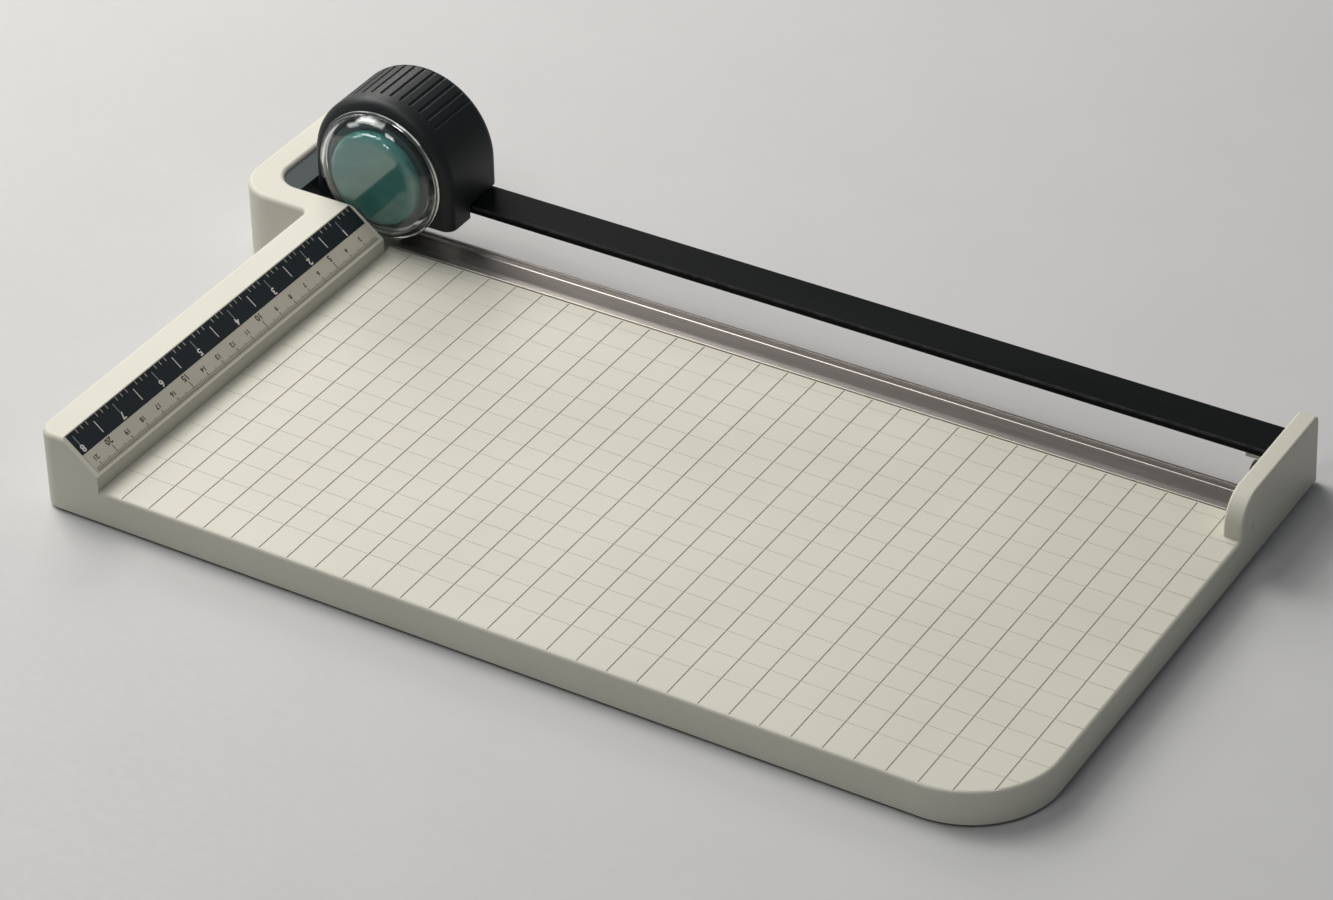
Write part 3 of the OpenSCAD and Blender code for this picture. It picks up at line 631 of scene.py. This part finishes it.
def hollows():
    """Rooms inside the base, all open below."""
    deck_room = prism(deck_outline(WALL), 0, DECK_TOP - DECK_SKIN)
    ledge_left, ledge_right = LEDGE_X + WALL, GUIDE_X - 4.2
    ledge_ceiling = LEDGE_TOP - DECK_SKIN
    ledge_room = prism([
        (ledge_left, 0), (ledge_left, ledge_ceiling), (SLOPE_X - 0.8, ledge_ceiling),
        (ledge_right, DECK_TOP + 1.6), (ledge_right, 0),
    ], FRONT_Y + WALL + 1.5, INNER_Y - WALL, "Y")
    arm_right, arm_rear = LEDGE_X + WALL + 1, BACK_Y - WALL - REAR_LEAN
    bracket_room = prism(rounded_outline([
        (arm_right, ARM_Y + WALL, 0.0),
        (LEFT_X + WALL, ARM_Y + WALL, BRACKET_OUTER_R - WALL),
        (LEFT_X + WALL, arm_rear, 0.0),
        (BRACKET_INNER_X - WALL, arm_rear, 0.0),
        (BRACKET_INNER_X - WALL, INNER_Y - WALL, BRACKET_INNER_R + WALL),
        (arm_right, INNER_Y - WALL, 0.0),
    ]), 0, ledge_ceiling)
    return [("DIFFERENCE", deck_room), ("DIFFERENCE", ledge_room), ("DIFFERENCE", bracket_room)]


def inner_structure():
    """Ribs under the deck, the shelf and rear wall of the cutting strip, and the bracket's floor."""
    into = 0.2
    rib, low = 1.6, BASE_Z + 2.0
    top = DECK_TOP - DECK_SKIN + into
    bays_along, bays_across = 7, 4
    along = (RIGHT_X - GUIDE_X) / bays_along
    across = (STRIP_Y - FRONT_Y) / bays_across
    long_ribs = []
    for i in range(1, bays_across):
        y = FRONT_Y + i * across
        long_ribs.append(block(GUIDE_X - WALL, y, low, RIGHT_X - WALL + into, y + rib, top))
    cross_ribs = []
    for i in range(1, bays_along):
        x = GUIDE_X + i * along
        cross_ribs.append(block(x, FRONT_Y + WALL - into, low, x + rib, STRIP_Y - WALL + into, top))
    end = CHEEK_X + 0.5
    shelf = block(LEDGE_X + into, STRIP_Y - WALL, SHELF_TOP - WALL, end, SHELF_Y, SHELF_TOP)
    rear = block(LEDGE_X + into, SHELF_Y - WALL, BASE_Z, end, SHELF_Y - 0.02, SHELF_TOP - 1)
    side = block(LEDGE_X + 0.1, INNER_Y - WALL, BASE_Z, LEDGE_X + WALL, SHELF_Y - 0.04, SHELF_TOP - 0.5)
    floor_w, floor_t = 12.7, 3
    floor = block(BRACKET_INNER_X - WALL, INNER_Y - WALL, BASE_Z, BRACKET_INNER_X + floor_w,
                  BACK_Y - REAR_LEAN - 2, BASE_Z + floor_t)
    steps = [("UNION", joined(long_ribs)), ("UNION", joined(cross_ribs))]
    return steps + [("UNION", solid) for solid in (shelf, rear, side, floor)]


def foot_bosses():
    """Columns above the feet, up to the deck or into the ledge's slope."""
    under_deck, under_ledge = DECK_TOP - 1, DECK_TOP + 8
    boss_r, small_boss_r = 8, 5
    rear = STRIP_Y - 22
    places = [
        (LEDGE_X + 12, FRONT_Y + 14, boss_r, under_ledge),
        (LEDGE_X + 16, rear, boss_r, under_ledge),
        (RIGHT_X - 40, FRONT_Y + 16, boss_r, under_deck),
        (RIGHT_X - 16, rear, boss_r, under_deck),
        (LEFT_X + 6.35, BACK_Y - 12, small_boss_r, under_deck),
    ]
    columns = []
    for x, y, radius, top in places:
        profile = [(0, BASE_Z), (radius, BASE_Z), (radius, top), (0, top)]
        columns.append(lathe(profile, (x, y, 0), "Z", 48, closed=False))
    return [("UNION", joined(columns))]


def grooves():
    """Cutters for the engraved half-inch grid, one set for each direction."""
    width, depth = 0.65, 0.30
    cross_width, cross_depth = 0.40, 0.10
    low, cross_low, high = DECK_TOP - depth, DECK_TOP - cross_depth, DECK_TOP + 3
    stop = STRIP_Y - 0.6
    xs = []
    x = GRID_X
    while x < CHEEK_X:
        xs.append(block(x - width / 2, FRONT_Y - 1, low, x + width / 2, stop, high))
        x += GRID_PITCH
    left, right, half = GUIDE_X + 0.4, RIGHT_X + 1, cross_width / 2
    ys = []
    y = GRID_Y
    while y > FRONT_Y + 6:
        ys.append(block(left, y - half, cross_low, right, y + half, high))
        y -= GRID_PITCH
    return [("DIFFERENCE", joined(xs)), ("DIFFERENCE", joined(ys))]


def slope_block(start, width, y0, y1, low, high):
    """Box that lies on the slope: start and width run down the slope, low and high across it."""
    mesh = block(start, y0, low, start + width, y1, high)
    turn = Matrix.Translation((SLOPE_X, 0, LEDGE_TOP)) @ Matrix.Rotation(SLOPE_ANGLE, 4, "Y")
    mesh.transform(turn)
    return mesh


SLOPE_LENGTH = math.hypot(SLOPE_RUN, SLOPE_DROP)
INCH_START, INCH_WIDTH = 0.5, 9.7
METRIC_START = INCH_START + INCH_WIDTH + 0.1
METRIC_WIDTH = SLOPE_LENGTH - METRIC_START - 1.3
SCALE_PROUD = 0.1
SCALE_BED_DEPTH = 0.5


def scale_beds():
    """Shallow beds in the slope for the two scale plates."""
    above = 3
    play, side_play = 0.1, 0.05
    y0, y1 = inch_low.y - play, inch_high.y + play
    inch_bed = slope_block(INCH_START - play, INCH_WIDTH + 2 * play, y0, y1, -SCALE_BED_DEPTH, above)
    metric_bed = slope_block(METRIC_START - side_play, METRIC_WIDTH + 2 * side_play, y0, y1,
                             -SCALE_BED_DEPTH, above)
    return [("DIFFERENCE", inch_bed), ("DIFFERENCE", metric_bed)]


def rail_socket():
    """Cutter for the rail's socket in the right bracket."""
    play = 0.1
    return block(CHEEK_X - 1, rail_low.y - play, rail_low.z - play, rail_high.x + play,
                 rail_high.y + play, rail_high.z + play)


def make_base():
    """The whole moulded base as one cream shell."""
    steps = [("UNION", ledge_solid()), ("UNION", cheek_solid())]
    steps += hollows()
    steps += inner_structure()
    steps += foot_bosses()
    steps += [("UNION", bead_solid())]
    steps += grooves()
    steps += scale_beds()
    steps += [("DIFFERENCE", rail_socket())]
    mesh = combined(deck_solid(), steps)
    make_piece("base_shell", mesh, MATERIALS["cream_plastic"], "base", ("base_body",))


make_base()


# ---- Scales ----------------------------------------------------------------------------------

FONT_SIZE_PER_HEIGHT = 1.38
STROKE_FATTENING = 0.035
INK_THICKNESS = 0.02
INK_LOW = SCALE_PROUD - 0.02
INK_HIGH = SCALE_PROUD + 0.03
INCH_ZERO = GRID_Y + GRID_PITCH
METRIC_ZERO = CUT_Y - 3.0


def numeral(text, size):
    """Flat mesh of a plain number, about size millimetres high, centred on the origin."""
    curve = bpy.data.curves.new("numeral", "FONT")
    curve.body = text
    curve.size = size * FONT_SIZE_PER_HEIGHT
    curve.align_x = "CENTER"
    curve.align_y = "CENTER"
    curve.extrude = INK_THICKNESS
    curve.offset = size * STROKE_FATTENING
    curve.resolution_u = 3
    holder = bpy.data.objects.new("numeral", curve)
    bpy.context.scene.collection.objects.link(holder)
    graph = bpy.context.evaluated_depsgraph_get()
    mesh = bmesh.new()
    mesh.from_mesh(bpy.data.meshes.new_from_object(holder.evaluated_get(graph)))
    bpy.data.objects.remove(holder)
    return mesh


def on_slope(mesh, down, y):
    """Lays a flat mesh on the scales, read from the left side of the trimmer."""
    lift = SCALE_PROUD + INK_THICKNESS
    turn = (Matrix.Translation((SLOPE_X, 0, LEDGE_TOP)) @ Matrix.Rotation(SLOPE_ANGLE, 4, "Y")
            @ Matrix.Translation((down, y, lift)) @ Matrix.Rotation(math.radians(-90), 4, "Z"))
    mesh.transform(turn)
    return mesh


def tick(start, length, y, width):
    """Printed line across a scale, from start down the slope."""
    return slope_block(start, length, y - width / 2, y + width / 2, INK_LOW, INK_HIGH)


def print_on(name, meshes, ink):
    """Joins printed marks into one named piece in one ink."""
    make_piece(name, joined(meshes), ink, "base", smooth=False)


def make_inch_marks():
    """Ticks each eighth of an inch, level with the grid's cross lines, and a number at each inch."""
    whole, halves, eighths, numbers = [], [], [], []
    last = math.floor((INCH_ZERO - inch_low.y - 0.6) / INCH * 8)
    for eighth in range(4, last + 1):
        y = INCH_ZERO - eighth * INCH / 8
        if eighth % 8 == 0:
            whole.append(tick(INCH_START + 1.6, 4.4, y, 0.40))
            numbers.append(on_slope(numeral(str(eighth // 8), 3.1), INCH_START + 7.5, y))
        elif eighth % 4 == 0:
            halves.append(tick(INCH_START + 2.2, 5.6, y, 0.42))
        else:
            eighths.append(tick(INCH_START + 0.15, 1.8, y, 0.48))
    print_on("inch_marks", whole, soft_ink)
    print_on("inch_half_marks", halves, pale_ink)
    print_on("inch_eighth_marks", eighths, brown_ink)
    print_on("inch_numbers", numbers, pale_ink)


def metric_tick_size(millimetre):
    """Length and width of the tick at a place on the metric scale."""
    if millimetre % 50 == 0:
        return 4.2, 0.36
    if millimetre % 10 == 0:
        return 2.4, 0.36
    if millimetre % 5 == 0:
        return 1.9, 0.28
    return 1.4, 0.28


def make_metric_marks():
    """Ticks each millimetre along the lower side, and a number at each centimetre."""
    ticks, numbers = [], []
    end_gap, number_gap, line_gap = 0.5, 1.5, 0.4
    end = METRIC_START + METRIC_WIDTH - end_gap
    first = math.ceil(METRIC_ZERO - metric_high.y + end_gap)
    last = math.floor(METRIC_ZERO - metric_low.y - end_gap)
    for millimetre in range(first, last + 1):
        y = METRIC_ZERO - millimetre
        length, width = metric_tick_size(millimetre)
        ticks.append(tick(end - length, length, y, width))
        if millimetre % 10 == 0 and y > metric_low.y + number_gap:
            size, down = (2.7, METRIC_START + 1.8) if millimetre % 50 == 0 else (2.1, METRIC_START + 3.6)
            numbers.append(on_slope(numeral(str(millimetre // 10), size), down, y))
    line_y0, line_y1 = metric_low.y + line_gap, metric_high.y - line_gap
    ticks.append(slope_block(end, 0.15, line_y0, line_y1, INK_LOW, INK_HIGH))
    print_on("metric_marks", ticks, dark_ink)
    print_on("metric_numbers", numbers, dark_ink)


make_inch_marks()
make_metric_marks()


# ---- Cutting strip and rail ------------------------------------------------------------------

def make_strip():
    """Fixed lower blade: near lip, wide ground face, low ridge, narrow groove and the cutting lip."""
    top = DECK_TOP
    face, groove, edge = top - 0.3, top - 0.6, top - 1.8
    outline = rounded_outline([
        (STRIP_Y, SHELF_TOP, 0.1), (CUT_Y, SHELF_TOP, 0.1),
        (CUT_Y, top, 0.1), (CUT_Y - 1.2, top, 0.15),
        (CUT_Y - 1.4, groove, 0.0), (CUT_Y - 2.0, groove, 0.0),
        (CUT_Y - 2.2, top - 0.05, 0.15), (CUT_Y - 4.5, top - 0.05, 0.3),
        (CUT_Y - 5.0, face, 0.0), (STRIP_Y + 5.0, face, 0.0),
        (STRIP_Y + 4.5, top, 0.3), (STRIP_Y + 1.0, top, 0.25),
        (STRIP_Y + 0.9, edge, 0.0), (STRIP_Y, edge, 0.0),
    ], 18.0)
    mesh = prism(outline, strip_low.x, strip_high.x, "X")
    make_piece("strip_bar", mesh, MATERIALS["ground_steel"], "base", ("cutting_strip",))


def make_rail():
    """Flat rail with softly rounded edges."""
    outline = rounded_outline([
        (rail_low.y, rail_low.z, 0.5), (rail_high.y, rail_low.z, 0.5),
        (rail_high.y, rail_high.z, 0.9), (rail_low.y, rail_high.z, 0.9),
    ], 15.0)
    mesh = prism(outline, rail_low.x, rail_high.x, "X")
    make_piece("rail_bar", mesh, MATERIALS["black_rail"], "base", ("guide_rail",))


make_strip()
make_rail()


# ---- Head ------------------------------------------------------------------------------------

HEAD_FRONT = AXLE.y - housing_low.y
HEAD_BACK = housing_high.y - AXLE.y
HEAD_EDGE_R = 4.5
HEAD_WALL = 2.2
SKIRT = AXLE.z - housing_low.z
ARCH_DROP = 12.4
MOUTH_R = 26.5
SHOE_ROOM_HALF = 27.0
SHOE_ROOM_DROP = 8.4
GRIP_COUNT = 11
GRIP_STEP = 8.0
GRIP_FIRST = 47.0
GRIP_R = 0.85
HOUSING_HOLE_R = 1.7
HOUSING_HOLE_X = 6
HOUSING_HOLE_Z = 14


def arch_outline(radius, drop):
    """Half circle about the axle on straight sides, as (x, z)."""
    steps = 72
    points = [(AXLE.x - radius, AXLE.z - drop), (AXLE.x + radius, AXLE.z - drop)]
    for k in range(steps + 1):
        angle = math.pi * k / steps
        points.append((AXLE.x + radius * math.cos(angle), AXLE.z + radius * math.sin(angle)))
    return points


def arch_solid(radius, front, back, edge, drop):
    """Arched block from front to back of the axle, with rounded edges above its foot."""
    mesh = prism(arch_outline(radius, drop), AXLE.y - front, AXLE.y + back, "Y")
    low = AXLE.z - drop + 0.01

    def rim(a, b):
        return abs(a.y - b.y) < 0.01 and max(a.z, b.z) > low

    round_edges(mesh, edge, rim, 8)
    return mesh


def grip_cutters():
    """Round-ended cutters for the grip grooves across the top."""
    front = AXLE.y - HEAD_FRONT + HEAD_EDGE_R + 3.0
    back = AXLE.y + HEAD_BACK - 2.0
    length = back - front
    reach = HEAD_R + 0.25
    cutters = []
    for i in range(GRIP_COUNT):
        angle = math.radians(GRIP_FIRST + i * GRIP_STEP)
        centre = (AXLE.x + reach * math.cos(angle), front, AXLE.z + reach * math.sin(angle))
        profile = [(0.0, 0.0)]
        profile += [(GRIP_R * math.sin(a), GRIP_R - GRIP_R * math.cos(a)) for a in (0.5, 1.0, math.pi / 2)]
        profile += [(GRIP_R * math.cos(a), length - GRIP_R + GRIP_R * math.sin(a)) for a in (0.0, 0.5, 1.0)]
        profile += [(0.0, length)]
        cutters.append(lathe(profile, centre, "Y", 12, closed=False))
    return joined(cutters)


def make_housing():
    """Arched shell with a round mouth for the guard, room for rail and shoe, grip grooves and screw holes."""
    front = -HEAD_FRONT - 1
    mouth = lathe([(0, front), (MOUTH_R, front), (MOUTH_R, 0), (0, 0)], AXLE, "Y", 96)
    wide = HEAD_R + 1
    low = AXLE.z - SKIRT - 1
    room_front = AXLE.y + 1.25
    room_back = room_front + 40
    rail_room = block(AXLE.x - wide, room_front, low, AXLE.x + wide, room_back, AXLE.z - ARCH_DROP)
    shoe_room = block(AXLE.x - SHOE_ROOM_HALF, room_front, low, AXLE.x + SHOE_ROOM_HALF,
                      room_back, AXLE.z - SHOE_ROOM_DROP)
    hole = [(0, -4), (HOUSING_HOLE_R, -4), (HOUSING_HOLE_R, 1), (0, 1)]
    screw_holes = [
        lathe(hole, (AXLE.x + x, AXLE.y + HEAD_BACK, AXLE.z + HOUSING_HOLE_Z), "Y", 24)
        for x in (-HOUSING_HOLE_X, HOUSING_HOLE_X)
    ]
    steps = [
        ("DIFFERENCE", arch_solid(HEAD_R - HEAD_WALL, HEAD_FRONT - HEAD_WALL, HEAD_BACK - HEAD_WALL,
                                  HEAD_EDGE_R - HEAD_WALL, SKIRT + 5)),
        ("DIFFERENCE", mouth),
        ("DIFFERENCE", shoe_room),
        ("DIFFERENCE", rail_room),
        ("DIFFERENCE", grip_cutters()),
        ("DIFFERENCE", joined(screw_holes)),
    ]
    mesh = combined(arch_solid(HEAD_R, HEAD_FRONT, HEAD_BACK, HEAD_EDGE_R, SKIRT), steps)
    make_piece("housing_shell", mesh, MATERIALS["black_plastic"], "head", ("head_housing",))


def make_guard():
    """Clear dome: flange, straight wall, full rounded edge and a slightly crowned front."""
    wall = 1.3
    flange_r = (guard_high.x - guard_low.x) / 2
    back = guard_high.y - AXLE.y
    front = guard_low.y - AXLE.y
    dome_r = flange_r - 1.0
    edge_r = 9.0
    crown = 0.5
    flange = 1.4
    outline = rounded_outline([
        (0.0, front, 0.0), (dome_r * 0.4, front + crown * 0.25, 0.0), (dome_r, front + crown, edge_r),
        (dome_r, back - flange, 0.4), (flange_r, back - flange, 0.5), (flange_r, back, 0.3),
        (dome_r - wall, back, 0.2), (dome_r - wall, front + wall, edge_r - wall), (0.0, front + wall, 0.0),
    ], 6.0)
    mesh = lathe([(p[0], p[1]) for p in outline], AXLE, "Y", 128, closed=False)
    make_piece("guard_dome", mesh, MATERIALS["clear_plastic"], "head", ("blade_guard",))


def make_cap():
    """Teal cap with a gently crowned face and a soft rim."""
    radius = (cap_high.x - cap_low.x) / 2
    back = cap_high.y - AXLE.y
    front = cap_low.y - AXLE.y
    crown = 0.5
    edge_r = 4.0
    wall = 1.6
    inner_r = radius - wall
    outline = rounded_outline([
        (0.0, front, 0.0), (radius * 0.55, front + crown * 0.3, 0.0), (radius, front + crown, edge_r),
        (radius, back, 0.2), (inner_r, back, 0.2), (inner_r, front + crown + 1.5, 1.0),
        (0.0, front + wall, 0.0),
    ], 9.0)
    mesh = lathe([(p[0], p[1]) for p in outline], AXLE, "Y", 96, closed=False)
    make_piece("cap_disc", mesh, MATERIALS["teal_plastic"], "cartridge", ("hub_cap",))


make_housing()
make_guard()
make_cap()


# ---- Screws ----------------------------------------------------------------------------------

M3_R = 1.5
M4_R = 2.0
STRIP_SCREW_X = (-140, -50, 40, 130, 205)
POINTS_UP = Matrix.Identity(4)
POINTS_DOWN = Matrix.Rotation(math.pi, 4, "X")
POINTS_FORWARD = Matrix.Rotation(math.radians(90), 4, "X")


def screw_mesh(radius, head_radius, head_height, length):
    """Pan-head screw that points along +Z, with its head below zero and a cross recess in it."""
    outline = rounded_outline([
        (0.0, -head_height, 0.0), (head_radius, -head_height, head_height * 0.6), (head_radius, 0.0, 0.1),
        (radius, 0.0, 0.0), (radius, length - radius * 0.4, 0.0), (radius * 0.6, length, 0.0),
        (0.0, length, 0.0),
    ], 12.0)
    body = lathe([(p[0], p[1]) for p in outline], (0, 0, 0), "Z", 40, closed=False)
    arm, half = head_radius * 0.58, head_radius * 0.13
    depth = head_height * 0.55
    low = -head_height - 1
    cross = [("DIFFERENCE", block(-arm, -half, low, arm, half, -head_height + depth)),
             ("DIFFERENCE", block(-half, -arm, low, half, arm, -head_height + depth))]
    return combined(body, cross)


def make_screws(node, body, places, turn, radius, head_radius, head_height, length):
    """Pan-head screws in place of a node's plain ones: places in millimetres, turn from +Z."""
    screws = []
    for place in places:
        mesh = screw_mesh(radius, head_radius, head_height, length)
        mesh.transform(Matrix.Translation(place) @ turn)
        screws.append(mesh)
    make_piece(node + "_heads", joined(screws), MATERIALS["zinc_steel"], body, (node,))


def make_strip_screws():
    """Five screws from below that hold the strip."""
    low, high = box_mm("strip_screws")
    head_r, head_h = 3.6, 2.2
    y = (low.y + high.y) / 2
    places = [(x, y, low.z + head_h) for x in STRIP_SCREW_X]
    make_screws("strip_screws", "base", places, POINTS_UP, M4_R, head_r, head_h, high.z - low.z - head_h)


def make_end_block_screws():
    """Two screws from below that hold the rail's end block."""
    low, high = box_mm("end_block_screws")
    head_r, head_h = 3.4, 1.2
    x = (low.x + high.x) / 2
    places = [(x, y, low.z + head_h) for y in (low.y + head_r, high.y - head_r)]
    make_screws("end_block_screws", "base", places, POINTS_UP, M4_R, head_r, head_h, high.z - low.z - head_h)


def make_rail_left_screw():
    """Screw from above through the rail's end block."""
    low, high = box_mm("rail_left_screw")
    head_r, head_h = 3.6, 1.6
    middle = (low + high) / 2
    places = [(middle.x, middle.y, high.z - head_h)]
    make_screws("rail_left_screw", "base", places, POINTS_DOWN, M4_R, head_r, head_h, high.z - low.z - head_h)


def make_housing_screws():
    """Two screws from behind that hold the housing."""
    low, high = box_mm("housing_screws")
    head_r, head_h = 2.8, 1.8
    z = (low.z + high.z) / 2
    places = [(x, high.y - head_h, z) for x in (low.x + head_r, high.x - head_r)]
    make_screws("housing_screws", "head", places, POINTS_FORWARD, M3_R, head_r, head_h,
                high.y - low.y - head_h)


make_strip_screws()
make_end_block_screws()
make_rail_left_screw()
make_housing_screws()


# ---- Springs ---------------------------------------------------------------------------------

SPRING_WIRE_R = 0.35
SPRING_TURNS = 6


def coil_mesh(centre_x, centre_y, mean_r, low, high):
    """Round wire wound from low to high about an upright line, with one closed turn at each end."""
    steps, sides = 32, 12
    wire_r = SPRING_WIRE_R
    closed_pitch = 2.2 * wire_r
    open_turns = SPRING_TURNS - 2
    open_pitch = (high - low - 2 * wire_r - 2 * closed_pitch) / open_turns
    mesh = bmesh.new()
    rings = []
    for k in range(SPRING_TURNS * steps + 1):
        turn = k / steps
        closed = min(turn, 1.0) + max(turn - SPRING_TURNS + 1, 0.0)
        opened = min(max(turn - 1.0, 0.0), open_turns)
        middle = low + wire_r + closed_pitch * closed + open_pitch * opened
        angle = 2 * math.pi * turn
        ring = []
        for side in range(sides):
            around = 2 * math.pi * side / sides
            radius = mean_r + wire_r * math.cos(around)
            ring.append(mesh.verts.new((
                centre_x + radius * math.cos(angle),
                centre_y + radius * math.sin(angle),
                middle + wire_r * math.sin(around),
            )))
        rings.append(ring)
    for ring, following in zip(rings, rings[1:]):
        for i in range(sides):
            j = (i + 1) % sides
            mesh.faces.new((ring[i], ring[j], following[j], following[i]))
    mesh.faces.new(rings[0])
    mesh.faces.new(rings[-1])
    bmesh.ops.recalc_face_normals(mesh, faces=mesh.faces)
    return mesh


def make_springs():
    """The two springs that lift the head; the real ones shorten by the press travel."""
    spring_low, spring_high = box_mm("press_springs")
    outer_r = (spring_high.y - spring_low.y) / 2
    y = spring_low.y + outer_r
    coils = [coil_mesh(x, y, outer_r - SPRING_WIRE_R, spring_low.z, spring_high.z)
             for x in (spring_low.x + outer_r, spring_high.x - outer_r)]
    piece = make_piece("spring_coils", joined(coils), MATERIALS["spring_steel"], "shoe",
                       ("press_springs",))
    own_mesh(piece)


make_springs()


# ---- Studio ----------------------------------------------------------------------------------

def make_floor():
    """Pale flat floor, wide enough to fill the picture."""
    half = 6.0
    mesh = bpy.data.meshes.new("floor")
    corners = [(-half, -half, 0), (half, -half, 0), (half, half, 0), (-half, half, 0)]
    mesh.from_pydata(corners, [], [(0, 1, 2, 3)])
    floor = bpy.data.objects.new("floor", mesh)
    bpy.context.scene.collection.objects.link(floor)
    mesh.materials.append(plastic("floor_paint", (0.50, 0.50, 0.50), 0.75, 4.0, 0.02, 0.0, 0.01))


def make_area_light(name, place, target, width, height, power, colour=(1.0, 1.0, 1.0)):
    """A soft box aimed at target."""
    data = bpy.data.lights.new(name, "AREA")
    data.shape = "RECTANGLE"
    data.size = width
    data.size_y = height
    data.energy = power
    data.color = colour
    light = bpy.data.objects.new(name, data)
    light.location = place
    light.rotation_euler = (Vector(target) - Vector(place)).to_track_quat("-Z", "Y").to_euler()
    bpy.context.scene.collection.objects.link(light)


def make_world(strength):
    """Dim even surroundings."""
    world = bpy.data.worlds.new("studio")
    world.use_nodes = True
    background = world.node_tree.nodes["Background"]
    background.inputs["Color"].default_value = (0.86, 0.90, 0.95, 1.0)
    background.inputs["Strength"].default_value = strength
    bpy.context.scene.world = world


def make_camera():
    """Long lens, 35 degrees above the table, 31 degrees round to the right of the front."""
    heading = math.radians(31.22)
    elevation = math.radians(34.76)
    roll = math.radians(-0.872)
    aim = Vector((-0.0004, 0.0227, 0.0))
    distance = 1.7597
    data = bpy.data.cameras.new("camera")
    data.sensor_width = 36.0
    data.lens = 121.35
    camera = bpy.data.objects.new("camera", data)
    turn = (Matrix.Rotation(heading, 3, "Z") @ Matrix.Rotation(math.radians(90) - elevation, 3, "X")
            @ Matrix.Rotation(roll, 3, "Z"))
    back = turn @ Vector((0, 0, distance))
    camera.matrix_world = Matrix.Translation(aim + back) @ turn.to_4x4()
    bpy.context.scene.collection.objects.link(camera)
    bpy.context.scene.camera = camera


HEAD_PLACE = (-0.17, 0.07, 0.05)

make_floor()
make_world(0.17)
make_area_light("key", (-1.35, 0.35, 1.5), (0, 0, 0), 0.9, 0.9, 24.0, (1.0, 0.975, 0.93))
make_area_light("back_box", (-1.45, 1.35, 1.05), (0, 0, 0), 1.0, 0.8, 14.0, (1.0, 0.965, 0.92))
make_area_light("top", (-0.75, 0.05, 1.7), (0, 0, 0), 0.9, 0.6, 9.0, (1.0, 0.98, 0.95))
make_area_light("left_box", (-1.75, -0.30, 1.0), HEAD_PLACE, 0.55, 0.55, 5.0, (1.0, 0.99, 0.97))
make_area_light("front_box", (-0.05, -0.95, 1.5), HEAD_PLACE, 0.45, 0.45, 5.0, (1.0, 0.99, 0.97))
make_camera()

bpy.context.scene.view_settings.view_transform = "Standard"
